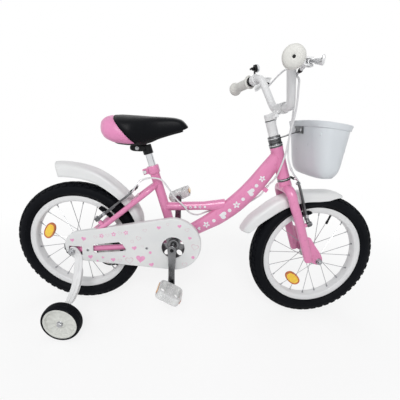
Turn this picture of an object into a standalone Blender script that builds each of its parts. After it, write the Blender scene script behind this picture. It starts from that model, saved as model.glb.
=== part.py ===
"""A children's bicycle on sixteen-inch wheels, with training wheels, fenders, a chain guard and a basket.

Metres, +Z up. +X points forward, +Y to the rider's left, and the chain side faces -Y.
The origin is on the ground, right under the rear axle.
"""

import math

import bmesh
import bpy
from mathutils import Matrix, Vector

# Wheels
WHEEL_RADIUS = 0.200
WHEELBASE = 0.744
TYRE_WIDTH = 0.050
TYRE_WALL = 0.004
TREAD_FLAT = 0.012
BEAD_RADIUS = 0.1525
RIM_WIDTH = 0.032
RIM_DEPTH = 0.0165
RIM_WALL = 0.0028
RIM_LIP = 0.0065
WHEEL_SIDES = 28
SPOKES = 20
SPOKE_RADIUS = 0.0010
FRONT_SPOKE_PHASE = 230.9
REAR_SPOKE_PHASE = 154.8
HUB_FLANGE_RADIUS = 0.022
HUB_FLANGE_SIDE = 0.028
HUB_BARREL_RADIUS = 0.014
FRONT_HUB_END_RADIUS = 0.012
HUB_SEAT_RADIUS = 0.0175
AXLE_RADIUS = 0.0050
REFLECTOR_LENGTH = 0.058
REFLECTOR_WIDTH = 0.034
REFLECTOR_THICKNESS = 0.008

# Steering
HEAD_ANGLE = 70.0
STEER_AT_REST = 8.2
FORK_OFFSET = 0.029
FORK_LENGTH = 0.375
HEAD_LENGTH = 0.110
HEAD_RADIUS = 0.018
HEAD_BORE = 0.0155
STEERER_RADIUS = 0.0127
STEERER_BORE = 0.0114
CUP_RADIUS = 0.0195
CUP_HEIGHT = 0.0075
BLADE_SIDE = 0.050
BLADE_DEPTH = 0.0270
BLADE_WIDTH = 0.0240
STEM_RADIUS = 0.0135
BAR_RADIUS = 0.0111
BAR_RISE = 0.0905
BAR_FORWARD = 0.040
BAR_CORNER_SIDE = 0.0615
BAR_BEND_RADIUS = 0.026
GRIP_RADIUS = 0.0150
GRIP_LENGTH = 0.094
GRIP_FLANGE = 0.0220

# Frame
CRANK_FORWARD = 0.3055
CRANK_HEIGHT = 0.228
SEAT_ANGLE = 72.8
SEAT_TUBE_LENGTH = 0.245
SEAT_TUBE_RADIUS = 0.0143
DOWN_TUBE_WIDTH = 0.038
DOWN_TUBE_DEPTH = 0.056
DOWN_TUBE_BEND_SHARE = 0.5446
DOWN_TUBE_SAG = 0.0445
DOWN_TUBE_BEND = 0.50
TOP_TUBE_RADIUS = 0.0135
TOP_TUBE_HEIGHT = 0.113
TOP_TUBE_ANGLE = 4.5
SEAT_STAY_RADIUS = 0.0080
CHAIN_STAY_RADIUS = 0.0090
CHAIN_STAY_HALF_HEIGHT = 0.0070
FENDER_BRIDGE_RADIUS = 0.006
STAY_DROP = 0.055
DROPOUT_SIDE = 0.0505
DROPOUT_THICKNESS = 0.004
SHELL_RADIUS = 0.0200
SHELL_HALF_WIDTH = 0.034
SHELL_BORE = 0.0165

# Seat
POST_RADIUS = 0.0111
POST_SHOWN = 0.058
POST_INSERTED = 0.105
SEAT_BORE_DEPTH = 0.185
SADDLE_HALF_WIDTH = 0.080

# Drive
CRANK_LENGTH = 0.114
CRANK_SIDE = 0.0725
CRANK_THICKNESS = 0.010
SPINDLE_RADIUS = 0.0080
CHAIN_SIDE = 0.0420
CHAIN_PITCH = 0.0127
CHAINRING_TEETH = 28
SPROCKET_TEETH = 16
CHAIN_HALF_HEIGHT = 0.0040
CHAIN_HALF_WIDTH = 0.0035
PEDAL_LENGTH = 0.075
PEDAL_WIDTH = 0.064
PEDAL_HEIGHT = 0.029
PEDAL_SIDE = 0.095
PEDAL_AXLE_RADIUS = 0.006
LEFT_PEDAL_TILT = 25.0
RIGHT_PEDAL_TILT = 26.0
GUARD_SIDE = 0.0655
GUARD_WALL = 0.0020
GUARD_DEPTH = 0.015
GUARD_REAR_RADIUS = 0.048
GUARD_FRONT_RADIUS = 0.084

# Training wheels
TRAINER_RADIUS = 0.0545
TRAINER_WIDTH = 0.028
TRAINER_DISC_RADIUS = 0.0470
TRAINER_SIDE = 0.185
TRAINER_FORWARD = 0.020
TRAINER_ARM_WIDTH = 0.024
TRAINER_ARM_THICKNESS = 0.004
TRAINER_AXLE_RADIUS = 0.004

# Brakes
PAD_GAP = 0.0020
PAD_RADIUS = 0.1515
PIVOT_TO_PAD = 0.0245
PIVOT_TO_TOP = 0.132
BRAKE_SIDE = 0.050
REAR_BRAKE_SETBACK = 0.028
FRONT_BRAKE_SETBACK = 0.026
CABLE_RADIUS = 0.0025

# Fenders and basket
FENDER_HALF_WIDTH = 0.030
FENDER_WALL = 0.0025
BASKET_WALL = 0.003
BASKET_TOP_HALF_WIDTH = 0.1115
BASKET_TOP_HALF_LENGTH = 0.059
BASKET_FLOOR_HALF_WIDTH = 0.1025
BASKET_FLOOR_HALF_LENGTH = 0.036
BASKET_LIP = 0.004
BASKET_RIM_LEAN = 6.3
BASKET_FLOOR_RISE = 2.5
BASKET_SIDES = 28
BASKET_SQUARENESS = 2.9
BRACKET_THICKNESS = 0.003

# The gap between pieces that rest on or run in each other
CLEARANCE = 0.0003

SIDEWAYS = Vector((0.0, 1.0, 0.0))
UP = Vector((0.0, 0.0, 1.0))
AHEAD = Vector((1.0, 0.0, 0.0))


def turned_up(degrees):
    """The direction in the bicycle's plane that climbs at this angle from straight ahead."""
    angle = math.radians(degrees)
    return Vector((math.cos(angle), 0.0, math.sin(angle)))


REAR_AXLE = Vector((0.0, 0.0, WHEEL_RADIUS))
FRONT_AXLE = Vector((WHEELBASE, 0.0, WHEEL_RADIUS))
STEER_AXIS = turned_up(180.0 - HEAD_ANGLE)
STEER_FRONT = turned_up(90.0 - HEAD_ANGLE)
HEAD_TOP = FRONT_AXLE - STEER_FRONT * FORK_OFFSET + STEER_AXIS * FORK_LENGTH
CRANK_CENTRE = Vector((CRANK_FORWARD, 0.0, CRANK_HEIGHT))
SEAT_AXIS = turned_up(180.0 - SEAT_ANGLE)
SEAT_FRONT = turned_up(90.0 - SEAT_ANGLE)
SEAT_TOP = CRANK_CENTRE + SEAT_AXIS * SEAT_TUBE_LENGTH
POST_TOP = SEAT_TOP + SEAT_AXIS * POST_SHOWN
STAY_TOP = SEAT_TOP - SEAT_AXIS * STAY_DROP
STAY_LENGTH = (STAY_TOP - REAR_AXLE).length
STAY_AXIS = (STAY_TOP - REAR_AXLE).normalized()
STAY_BACK = Vector((-STAY_AXIS.z, 0.0, STAY_AXIS.x))
CHAINRING_RADIUS = CHAINRING_TEETH * CHAIN_PITCH / (2.0 * math.pi)
SPROCKET_RADIUS = SPROCKET_TEETH * CHAIN_PITCH / (2.0 * math.pi)
HUB_END = DROPOUT_SIDE - 0.0045
GRIP_BEND = HEAD_TOP + Vector((-0.0270, 0.1135, 0.1950))
GRIP_DIRECTION = Vector((-0.348, 0.923, -0.166)).normalized()
GRIP_START = 0.054
LEVER_CLAMP_START = 0.0225
LEVER_CLAMP_LENGTH = 0.016
LEVER_PIVOT = HEAD_TOP + Vector((0.0040, 0.137, 0.1890))
LEVER_THICKNESS = 0.0104
TRAINER_AXLE = Vector((TRAINER_FORWARD, 0.0, TRAINER_RADIUS))
TRAINER_ARM_FOOT = TRAINER_SIDE - 0.0130
BRACKET_LEVEL = 0.0140
BASKET_RIM = HEAD_TOP + Vector((0.1196, 0.0, 0.0626))
BASKET_FLOOR = HEAD_TOP + Vector((0.1232, 0.0, -0.0834))


def on_steerer(along, forward=0.0, side=0.0):
    """A place along the steering axis, from the top of the head, and ahead of that axis."""
    return HEAD_TOP + STEER_AXIS * along + STEER_FRONT * forward + SIDEWAYS * side


def on_stay(along, behind=0.0, side=0.0):
    """A place along the seat stays, from the rear axle, and behind their line."""
    return REAR_AXLE + STAY_AXIS * along + STAY_BACK * behind + SIDEWAYS * side


def around(centre, radius, degrees, side=0.0):
    return centre + turned_up(degrees) * radius + SIDEWAYS * side


def climb_of(first, second):
    """The angle in degrees at which the line from the first point to the second climbs."""
    return math.degrees(math.atan2(second.z - first.z, second.x - first.x))


def hung_below(first, second, share, sag):
    """A place at this share of the way between two points, this far below the line through them."""
    way = (second - first).normalized()
    return first.lerp(second, share) + Vector((way.z, 0.0, -way.x)) * sag


def mirrored(point, side):
    """The point on the left for a side of 1, and its mirror image on the right for -1."""
    return Vector((point.x, point.y * side, point.z))


# Colours


def paint(name, colour, roughness, metallic=0.0):
    made = bpy.data.materials.new(name)
    made.use_nodes = True
    shader = made.node_tree.nodes["Principled BSDF"]
    shader.inputs["Base Color"].default_value = (*colour, 1.0)
    shader.inputs["Roughness"].default_value = roughness
    shader.inputs["Metallic"].default_value = metallic
    made.diffuse_color = (*colour, 1.0)
    return made


def clear_scene():
    for obj in list(bpy.data.objects):
        bpy.data.objects.remove(obj, do_unlink=True)


clear_scene()
PINK_PAINT = paint("pink_paint", (0.76, 0.22, 0.42), 0.30)
WHITE_PAINT = paint("white_paint", (0.84, 0.84, 0.84), 0.30)
WHITE_PLASTIC = paint("white_plastic", (0.86, 0.86, 0.85), 0.35)
PEARL_PLASTIC = paint("pearl_plastic", (0.72, 0.76, 0.80), 0.35)
BLACK_RUBBER = paint("black_rubber", (0.012, 0.012, 0.015), 0.75)
BLACK_COVER = paint("black_cover", (0.010, 0.010, 0.013), 0.45)
PINK_COVER = paint("pink_cover", (0.80, 0.28, 0.50), 0.45)
BLACK_PLASTIC = paint("black_plastic", (0.015, 0.015, 0.017), 0.45)
STEEL = paint("steel", (0.55, 0.56, 0.58), 0.25, 1.0)
DARK_STEEL = paint("dark_steel", (0.20, 0.20, 0.21), 0.35, 1.0)
AMBER = paint("amber", (0.95, 0.33, 0.02), 0.15)
PALE_GRIP = paint("pale_grip", (0.80, 0.80, 0.77), 0.55)


# Shapes, each a pair of points and faces


def axis_frame(origin, axis):
    """A frame at the origin whose Z runs along the axis."""
    along = axis.normalized()
    guide = AHEAD if abs(along.x) < 0.9 else SIDEWAYS
    across = (guide - along * guide.dot(along)).normalized()
    frame = Matrix((across, along.cross(across), along)).transposed().to_4x4()
    frame.translation = origin
    return frame


def joined_rows(rows, loop):
    """Faces between rows of point numbers, where a row at a pole repeats one number."""
    faces = []
    pairs = list(zip(rows, rows[1:]))
    if loop:
        pairs.append((rows[-1], rows[0]))
    for first, second in pairs:
        for k in range(len(first)):
            after = (k + 1) % len(first)
            corners = [first[k], first[after], second[after], second[k]]
            face = list(dict.fromkeys(corners))
            if len(face) > 2:
                faces.append(face)
    return faces


def revolved(origin, axis, profile, sides, loop=False):
    """A turned solid from pairs of radius and height. A flat of it faces square to the frame's Y."""
    frame = axis_frame(origin, axis)
    points = []
    rows = []
    for radius, height in profile:
        if radius == 0.0:
            points.append(frame @ Vector((0.0, 0.0, height)))
            rows.append([len(points) - 1] * sides)
            continue
        rows.append(list(range(len(points), len(points) + sides)))
        for k in range(sides):
            angle = 2.0 * math.pi * (k + 0.5) / sides
            flat = Vector((radius * math.cos(angle), radius * math.sin(angle), height))
            points.append(frame @ flat)
    return points, joined_rows(rows, loop)


def rod(start, end, radius, sides=10):
    axis = end - start
    profile = [(0.0, 0.0), (radius, 0.0), (radius, axis.length), (0.0, axis.length)]
    return revolved(start, axis, profile, sides)


def lofted(rings, loop=False):
    """A solid through rings of equally many points, closed by a face at each end."""
    count = len(rings[0])
    points = [point for ring in rings for point in ring]
    rows = [list(range(k * count, (k + 1) * count)) for k in range(len(rings))]
    faces = joined_rows(rows, loop)
    if not loop:
        faces.append(rows[0])
        faces.append(rows[-1][::-1])
    return points, faces


def oval(centre, first, second, sides, power=2.0):
    """A ring round the centre. A power above 2 squares the oval off."""
    ring = []
    for k in range(sides):
        angle = 2.0 * math.pi * (k + 0.5) / sides
        c = math.copysign(abs(math.cos(angle)) ** (2.0 / power), math.cos(angle))
        s = math.copysign(abs(math.sin(angle)) ** (2.0 / power), math.sin(angle))
        ring.append(centre + first * c + second * s)
    return ring


def swept(path, halves, sides, across=SIDEWAYS, power=2.0):
    """A tube along a path. Its half sizes, across and up, follow the fraction of the way."""
    rings = []
    for k, point in enumerate(path):
        tangent = (path[min(k + 1, len(path) - 1)] - path[max(k - 1, 0)]).normalized()
        up = tangent.cross(across).normalized()
        half_across, half_up = halves(k / (len(path) - 1))
        rings.append(oval(point, up.cross(tangent) * half_across, up * half_up, sides, power))
    return lofted(rings)


def steady(half_across, half_up):
    return lambda fraction: (half_across, half_up)


def prism(outline, depth):
    return lofted([outline, [point + depth for point in outline]])


def block(centre, half_x, half_y, half_z):
    """A block whose three half sizes are vectors."""
    corners = [centre + half_x * a + half_y * b - half_z for a, b in ((1, 1), (-1, 1), (-1, -1), (1, -1))]
    return prism(corners, half_z * 2.0)


def between(pairs, place):
    """The value at a place, read from pairs of place and value in rising order."""
    for (low, first), (high, second) in zip(pairs, pairs[1:]):
        if place <= high:
            share = (place - low) / (high - low)
            return first + (second - first) * max(share, 0.0)
    return pairs[-1][1]


def line_cross(first, first_angle, second, second_angle):
    """Where two lines in the bicycle's plane meet."""
    a = turned_up(first_angle)
    b = turned_up(second_angle)
    gap = second - first
    along = (gap.x * b.z - gap.z * b.x) / (a.x * b.z - a.z * b.x)
    return first + a * along


def rounded(corners, radius, steps):
    """A path through corners, each turned into an arc of this radius."""
    path = [corners[0]]
    for before, corner, after in zip(corners, corners[1:], corners[2:]):
        arrive = (corner - before).normalized()
        leave = (after - corner).normalized()
        bend = arrive.angle(leave)
        reach = radius * math.tan(bend / 2.0)
        inward = (leave - arrive).normalized()
        centre = corner + inward * (radius / math.cos(bend / 2.0))
        start = corner - arrive * reach - centre
        axis = arrive.cross(leave).normalized()
        for k in range(steps + 1):
            path.append(centre + Matrix.Rotation(bend * k / steps, 3, axis) @ start)
    path.append(corners[-1])
    return path


def straight(start, end, steps):
    return [start.lerp(end, k / steps) for k in range(steps + 1)]


def smooth_curve(route, spacing):
    """Evenly spaced points on a smooth curve through the route's points."""
    ends = [route[0] * 2.0 - route[1]] + list(route) + [route[-1] * 2.0 - route[-2]]
    fine = []
    parts = 24
    for a, b, c, d in zip(ends, ends[1:], ends[2:], ends[3:]):
        for k in range(parts):
            t = k / parts
            bend = (a * 2.0 - b * 5.0 + c * 4.0 - d) * t * t + (b * 3.0 - a - c * 3.0 + d) * t**3
            fine.append(b + ((c - a) * t + bend) * 0.5)
    fine.append(route[-1])
    total = sum((q - p).length for p, q in zip(fine, fine[1:]))
    count = max(round(total / spacing), 4)
    points = [fine[0]]
    walked = 0.0
    for p, q in zip(fine, fine[1:]):
        step = (q - p).length
        while len(points) < count and walked + step >= total * len(points) / count:
            points.append(p.lerp(q, (total * len(points) / count - walked) / step))
        walked += step
    return points + [fine[-1]]


def belt(rear, rear_radius, front, front_radius, steps):
    """An outline round two circles and along the straight lines that touch both."""
    span = front - rear
    heading = math.degrees(math.atan2(span.z, span.x))
    lean = math.degrees(math.acos((rear_radius - front_radius) / span.length))
    outline = []
    for centre, radius, start, sweep in (
        (rear, rear_radius, heading + lean, 360.0 - 2.0 * lean),
        (front, front_radius, heading - lean, 2.0 * lean),
    ):
        for k in range(steps + 1):
            outline.append(around(centre, radius, start + sweep * k / steps))
    return outline


# Objects


def build(name, shape):
    points, faces = shape
    mesh = bpy.data.meshes.new(name)
    mesh.from_pydata(points, [], faces)
    work = bmesh.new()
    work.from_mesh(mesh)
    bmesh.ops.recalc_face_normals(work, faces=work.faces)
    work.to_mesh(mesh)
    work.free()
    made = bpy.data.objects.new(name, mesh)
    bpy.context.scene.collection.objects.link(made)
    return made


def combine(target, shape, operation):
    """Joins a shape to the target, or cuts it away, and keeps the result as the target's mesh."""
    tool = build("tool", shape)
    modifier = target.modifiers.new(operation, "BOOLEAN")
    modifier.operation = operation
    modifier.object = tool
    graph = bpy.context.evaluated_depsgraph_get()
    mesh = bpy.data.meshes.new_from_object(target.evaluated_get(graph))
    target.modifiers.clear()
    target.data = mesh
    mesh.name = target.name
    bpy.data.objects.remove(tool, do_unlink=True)


def weld(made):
    """Merges the points that a cut left closer together than the mesh can tell apart."""
    work = bmesh.new()
    work.from_mesh(made.data)
    bmesh.ops.remove_doubles(work, verts=work.verts, dist=1e-5)
    bmesh.ops.dissolve_degenerate(work, edges=work.edges, dist=1e-6)
    work.to_mesh(made.data)
    work.free()


def fused(name, shapes, cuts=()):
    """One solid from shapes that overlap, less the cuts."""
    made = build(name, shapes[0])
    for shape in shapes[1:]:
        combine(made, shape, "UNION")
    for shape in cuts:
        combine(made, shape, "DIFFERENCE")
    weld(made)
    return made


PIVOTS = {}
HOMES = {}


def pivot_on(name, origin, axis, parent=None, turned=0.0):
    """An empty on a joint's axis, Z along it, which carries what moves there."""
    home = axis_frame(origin, axis)
    made = bpy.data.objects.new(name, None)
    made.empty_display_size = 0.02
    bpy.context.scene.collection.objects.link(made)
    rest = home @ Matrix.Rotation(math.radians(turned), 4, "Z")
    if parent is None:
        made.matrix_world = rest
    else:
        made.parent = PIVOTS[parent]
        made.matrix_parent_inverse = HOMES[parent].inverted()
        made.matrix_basis = rest
    PIVOTS[name] = made
    HOMES[name] = home
    return made


def carry(made, material, pivot=None, smooth=40.0):
    """Finishes an object and hangs it on the named pivot, where it was built straight ahead."""
    made.data.materials.clear()
    made.data.materials.append(material)
    made.data.shade_smooth()
    made.data.set_sharp_from_angle(angle=math.radians(smooth))
    if pivot is not None:
        made.parent = PIVOTS[pivot]
        made.matrix_parent_inverse = HOMES[pivot].inverted()
    return made


# Wheels

TRUE_FLAT = 1.0 / math.cos(math.pi / WHEEL_SIDES)
RIM_OUTER = BEAD_RADIUS + RIM_LIP
RIM_INNER = RIM_OUTER - RIM_DEPTH - 0.003
HUB_FLANGE_HALF = 0.0035
REAR_AXLE_OUTER = DROPOUT_SIDE + DROPOUT_THICKNESS + CLEARANCE
TRAINER_ARM_SIDE = REAR_AXLE_OUTER + 0.012


def both_sides(half):
    """A closed profile from its half on the +Y side."""
    return half + [(radius, -height) for radius, height in reversed(half)]


def wheel_ring(name, axle, half, material, pivot):
    profile = [(radius * TRUE_FLAT, height) for radius, height in both_sides(half)]
    return carry(build(name, revolved(axle, SIDEWAYS, profile, WHEEL_SIDES, loop=True)), material, pivot)


def make_tyre(name, axle, pivot):
    """A tyre open towards the rim, with a flat tread band that meets the ground."""
    half_width = TYRE_WIDTH / 2.0
    shoulder = WHEEL_RADIUS - 0.0255
    bead = RIM_WIDTH / 2.0 - RIM_WALL - CLEARANCE
    seat = BEAD_RADIUS + CLEARANCE
    half = [
        (WHEEL_RADIUS - TYRE_WALL, 0.004),
        (shoulder, half_width - TYRE_WALL),
        (seat, bead - TYRE_WALL),
        (seat, bead),
        (RIM_OUTER + 2.0 * CLEARANCE, bead),
        (shoulder, half_width),
        (WHEEL_RADIUS - 0.009, half_width * 0.82),
        (WHEEL_RADIUS, TREAD_FLAT / 2.0),
    ]
    return wheel_ring(name, axle, half, BLACK_RUBBER, pivot)


def make_rim(name, axle, pivot):
    half_width = RIM_WIDTH / 2.0
    half = [
        (BEAD_RADIUS, half_width - RIM_WALL),
        (RIM_OUTER, half_width - RIM_WALL),
        (RIM_OUTER, half_width),
        (RIM_OUTER - RIM_DEPTH, half_width - 0.0005),
        (RIM_INNER, half_width * 0.3),
    ]
    return wheel_ring(name, axle, half[::-1], WHITE_PAINT, pivot)


def spoke_ends(axle, number, phase):
    """Both ends of a spoke. Every other one is on the chain side, and neighbours there lean opposite ways."""
    side = 1.0 if number % 2 else -1.0
    outer = number % 4 < 2
    angle = phase + 360.0 * number / SPOKES
    level = HUB_FLANGE_SIDE + (0.0018 if outer else -0.0018)
    start = around(axle, HUB_FLANGE_RADIUS - 0.005, angle + (34.0 if outer else -34.0), side * level)
    return start, around(axle, RIM_INNER - 2.0 * CLEARANCE, angle, side * RIM_WIDTH * 0.09)


def make_hub(name, axle, chain_seat, phase, pivot):
    """A hub with its spokes, which stop just inside the rim. The chain side has its own end radius."""
    inner = HUB_FLANGE_SIDE - HUB_FLANGE_HALF
    outer = HUB_FLANGE_SIDE + HUB_FLANGE_HALF
    bore = AXLE_RADIUS + 0.0005
    end_radius = HUB_BARREL_RADIUS - 0.002
    profile = [
        (bore, -HUB_END),
        (chain_seat, -HUB_END),
        (chain_seat, -outer),
        (HUB_FLANGE_RADIUS, -outer),
        (HUB_FLANGE_RADIUS, -inner),
        (HUB_BARREL_RADIUS, -inner),
        (HUB_BARREL_RADIUS, inner),
        (HUB_FLANGE_RADIUS, inner),
        (HUB_FLANGE_RADIUS, outer),
        (end_radius, outer),
        (end_radius, HUB_END),
        (bore, HUB_END),
    ]
    spokes = []
    for k in range(SPOKES):
        start, end = spoke_ends(axle, k, phase)
        spokes.append(rod(start, end, SPOKE_RADIUS, 4))
    shell = revolved(axle, SIDEWAYS, profile, 16, loop=True)
    return carry(fused(name, [shell] + spokes), STEEL, pivot)


def nut_stack(half_steps):
    """A solid profile for an axle: radius and outer end of each step, from the middle out."""
    right = [(radius, -end) for radius, end in half_steps]
    profile = [(0.0, right[-1][1])]
    for k in range(len(right) - 1, 0, -1):
        profile.append(right[k])
        profile.append((right[k][0], right[k - 1][1]))
    profile.append(right[0])
    return profile + [(radius, -height) for radius, height in reversed(profile)]


def make_axle(name, axle, steps, pivot=None):
    return carry(build(name, revolved(axle, SIDEWAYS, nut_stack(steps), 8)), STEEL, pivot)


def make_reflector(name, axle, share, phase, pivot):
    """An oval reflector that lies across a spoke of the chain side, at a share of the spoke's length."""
    start, end = spoke_ends(axle, 0, phase)
    along = (end - start).normalized()
    round_wheel = SIDEWAYS.cross(along).normalized()
    normal = along.cross(round_wheel).normalized()
    if normal.y > 0.0:
        normal = -normal
    seat = start.lerp(end, share) + normal * (SPOKE_RADIUS + CLEARANCE)
    rings = []
    for height, size in ((0.0, 0.94), (0.15, 1.0), (0.75, 1.0), (1.0, 0.86)):
        centre = seat + normal * REFLECTOR_THICKNESS * height
        width = along * REFLECTOR_WIDTH / 2.0 * size
        length = round_wheel * REFLECTOR_LENGTH / 2.0 * size
        rings.append(oval(centre, width, length, 14, 2.3))
    return carry(build(name, lofted(rings)), AMBER, pivot)


# Frame

DOWN_TUBE_START = on_steerer(-0.036)
DOWN_TUBE_CORNER = hung_below(CRANK_CENTRE, DOWN_TUBE_START, DOWN_TUBE_BEND_SHARE, DOWN_TUBE_SAG)
DOWN_TUBE_UPPER_ANGLE = climb_of(DOWN_TUBE_CORNER, DOWN_TUBE_START)
DOWN_TUBE_LOWER_ANGLE = climb_of(CRANK_CENTRE, DOWN_TUBE_CORNER)
STAY_SPREAD = (
    (0.0, 0.0542),
    (0.24, 0.0542),
    (0.40, 0.0500),
    (0.62, 0.0430),
    (0.74, 0.0400),
    (0.86, 0.0380),
    (0.94, 0.0270),
    (1.0, 0.0060),
)
CHAIN_STAY_SPREAD = (
    (0.0, 0.0535),
    (0.45, 0.0470),
    (0.66, 0.0400),
    (0.73, 0.0365),
    (0.845, 0.0302),
    (1.0, 0.0230),
)
GUARD_REAR = REAR_AXLE + Vector((0.025, 0.0, 0.015))
GUARD_FRONT = CRANK_CENTRE + Vector((0.0015, 0.0, 0.009))
GUARD_BOSS_REAR = REAR_AXLE + Vector((0.0472, 0.0, 0.0045))
GUARD_BOSS_FRONT = CRANK_CENTRE + Vector((-0.078, 0.0, -0.006))


def stay_path(end, start, spread, side):
    """A stay's centre line from the dropout to the main frame, spread to clear the wheel and the chain."""
    return [start.lerp(end, share) + SIDEWAYS * side * out for share, out in spread]


def dropout(side):
    """A plate round the rear axle that reaches up into the two stays on its side."""
    outline = [around(REAR_AXLE, 0.0155, angle) for angle in (100.0, 150.0, 200.0, 250.0, 290.0)]
    outline.append(REAR_AXLE + Vector((0.036, 0.0, -0.004)))
    outline.append(REAR_AXLE + Vector((0.040, 0.0, 0.008)))
    outline.append(on_stay(0.040, 0.004))
    outline = [point + SIDEWAYS * side * DROPOUT_SIDE for point in outline]
    return prism(outline, SIDEWAYS * side * DROPOUT_THICKNESS)


def make_frame():
    shorter_leg = min((DOWN_TUBE_START - DOWN_TUBE_CORNER).length, (CRANK_CENTRE - DOWN_TUBE_CORNER).length)
    half_turn = math.radians(DOWN_TUBE_UPPER_ANGLE - DOWN_TUBE_LOWER_ANGLE) / 2.0
    bend = min(DOWN_TUBE_BEND, 0.9 * shorter_leg / math.tan(half_turn))
    down_path = rounded([DOWN_TUBE_START, DOWN_TUBE_CORNER, CRANK_CENTRE], bend, 6)
    down_depth = ((0.0, 0.022), (0.14, 0.0265), (0.5, DOWN_TUBE_DEPTH / 2.0), (0.8, 0.026), (1.0, 0.019))
    down_width = ((0.0, 0.0172), (0.14, DOWN_TUBE_WIDTH / 2.0), (0.8, DOWN_TUBE_WIDTH / 2.0), (1.0, 0.016))

    def down_halves(share):
        return between(down_width, share), between(down_depth, share)

    top_start = CRANK_CENTRE + SEAT_AXIS * TOP_TUBE_HEIGHT
    top_end = line_cross(top_start, TOP_TUBE_ANGLE, CRANK_CENTRE, DOWN_TUBE_LOWER_ANGLE)
    top_end = top_end + turned_up(TOP_TUBE_ANGLE) * -0.050
    top_depth = ((0.0, TOP_TUBE_RADIUS), (0.66, TOP_TUBE_RADIUS), (1.0, TOP_TUBE_RADIUS + 0.007))

    def top_halves(share):
        return TOP_TUBE_RADIUS, between(top_depth, share)

    head = rod(on_steerer(-HEAD_LENGTH + CUP_HEIGHT), on_steerer(-CUP_HEIGHT), HEAD_RADIUS, 16)
    down = swept(down_path, down_halves, 14)
    top = swept(straight(top_start, top_end, 3), top_halves, 12)
    seat = rod(CRANK_CENTRE, SEAT_TOP, SEAT_TUBE_RADIUS, 14)
    collar = rod(SEAT_TOP - SEAT_AXIS * 0.024, SEAT_TOP + SEAT_AXIS * 0.0008, SEAT_TUBE_RADIUS + 0.0035, 16)
    ear_centre = SEAT_TOP - SEAT_AXIS * 0.012 - SEAT_FRONT * (SEAT_TUBE_RADIUS + 0.008)
    ear = block(ear_centre, SEAT_FRONT * 0.0095, SIDEWAYS * 0.0068, SEAT_AXIS * 0.0085)
    shell = rod(
        CRANK_CENTRE - SIDEWAYS * SHELL_HALF_WIDTH,
        CRANK_CENTRE + SIDEWAYS * SHELL_HALF_WIDTH,
        SHELL_RADIUS,
        16,
    )
    shapes = [down, head, top, seat, collar, ear, shell]
    for side in (-1.0, 1.0):
        stay_start = REAR_AXLE + STAY_AXIS * 0.022
        shapes.append(swept(stay_path(STAY_TOP, stay_start, STAY_SPREAD, side),
                            steady(SEAT_STAY_RADIUS, SEAT_STAY_RADIUS), 8, UP))
        chain_start = REAR_AXLE + Vector((0.022, 0.0, 0.001))
        chain_end = CRANK_CENTRE + Vector((-0.012, 0.0, -0.003))
        shapes.append(swept(stay_path(chain_end, chain_start, CHAIN_STAY_SPREAD, side),
                            steady(CHAIN_STAY_RADIUS, CHAIN_STAY_HALF_HEIGHT), 8, UP))
        shapes.append(dropout(side))
        stud = on_stay(REAR_BRAKE_ALONG, 0.0, side * BRAKE_SIDE)
        shapes.extend(brake_stud(stud, STAY_BACK, REAR_BRAKE_SETBACK))
    for degrees in (UPPER_BRIDGE_ANGLE, LOWER_BRIDGE_ANGLE):
        reach = SIDEWAYS * 0.0385
        middle = bridge_at(degrees)
        shapes.append(rod(middle - reach, middle + reach, FENDER_BRIDGE_RADIUS, 8))
    for boss in (GUARD_BOSS_REAR, GUARD_BOSS_FRONT):
        inner = boss - SIDEWAYS * 0.040
        outer = boss - SIDEWAYS * (GUARD_SIDE - GUARD_WALL - CLEARANCE)
        shapes.append(rod(inner, outer, 0.0045, 8))
    shapes.append(block(CABLE_STOP, DOWN_TUBE_RUN * CABLE_STOP_HALF_LENGTH, SIDEWAYS * 0.005,
                        turned_up(DOWN_TUBE_UPPER_ANGLE + 90.0) * 0.008))
    cuts = [
        rod(on_steerer(-HEAD_LENGTH - 0.01), on_steerer(0.01), HEAD_BORE, 16),
        rod(SEAT_TOP - SEAT_AXIS * SEAT_BORE_DEPTH, SEAT_TOP + SEAT_AXIS * 0.01, POST_RADIUS + CLEARANCE, 14),
        rod(CRANK_CENTRE - SIDEWAYS * 0.05, CRANK_CENTRE + SIDEWAYS * 0.05, SHELL_BORE, 16),
        rod(REAR_AXLE - SIDEWAYS * 0.07, REAR_AXLE + SIDEWAYS * 0.07, AXLE_RADIUS + CLEARANCE, 8),
        rod(ear_bolt(-0.03), ear_bolt(0.03), 0.0034, 8),
        block(
            SEAT_TOP - SEAT_AXIS * 0.012 - SEAT_FRONT * (SEAT_TUBE_RADIUS + 0.010),
            SEAT_FRONT * 0.0145,
            SIDEWAYS * 0.0012,
            SEAT_AXIS * 0.016,
        ),
    ]
    return carry(fused("frame", shapes, cuts), PINK_PAINT)


def ear_bolt(side):
    return SEAT_TOP - SEAT_AXIS * 0.012 - SEAT_FRONT * (SEAT_TUBE_RADIUS + 0.011) + SIDEWAYS * side


def make_seat_bolt():
    profile = [(0.0, -0.0125), (0.0055, -0.0125), (0.0055, -0.0073), (0.003, -0.0073)]
    profile += [(radius, -height) for radius, height in reversed(profile)]
    return carry(build("seat_bolt", revolved(ear_bolt(0.0), SIDEWAYS, profile, 8)), STEEL)


def make_cups():
    """The two bearing cups, each with a spigot in the head tube."""
    spigot = 0.008
    bore = STEERER_RADIUS + 0.0006
    half = [
        (bore, CUP_HEIGHT + 0.004),
        (CUP_RADIUS, CUP_HEIGHT + 0.002),
        (CUP_RADIUS, CLEARANCE),
        (HEAD_BORE - CLEARANCE, CLEARANCE),
        (HEAD_BORE - CLEARANCE, -spigot),
        (bore, -spigot),
    ]
    top = revolved(on_steerer(-CUP_HEIGHT), STEER_AXIS, half, 16, loop=True)
    carry(build("headset_cup_upper", top), STEEL)
    half[0] = (bore, CUP_HEIGHT)
    half[1] = (CUP_RADIUS, CUP_HEIGHT)
    low = revolved(on_steerer(-HEAD_LENGTH + CUP_HEIGHT), -STEER_AXIS, half, 16, loop=True)
    carry(build("headset_cup_lower", low), STEEL)


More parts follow.
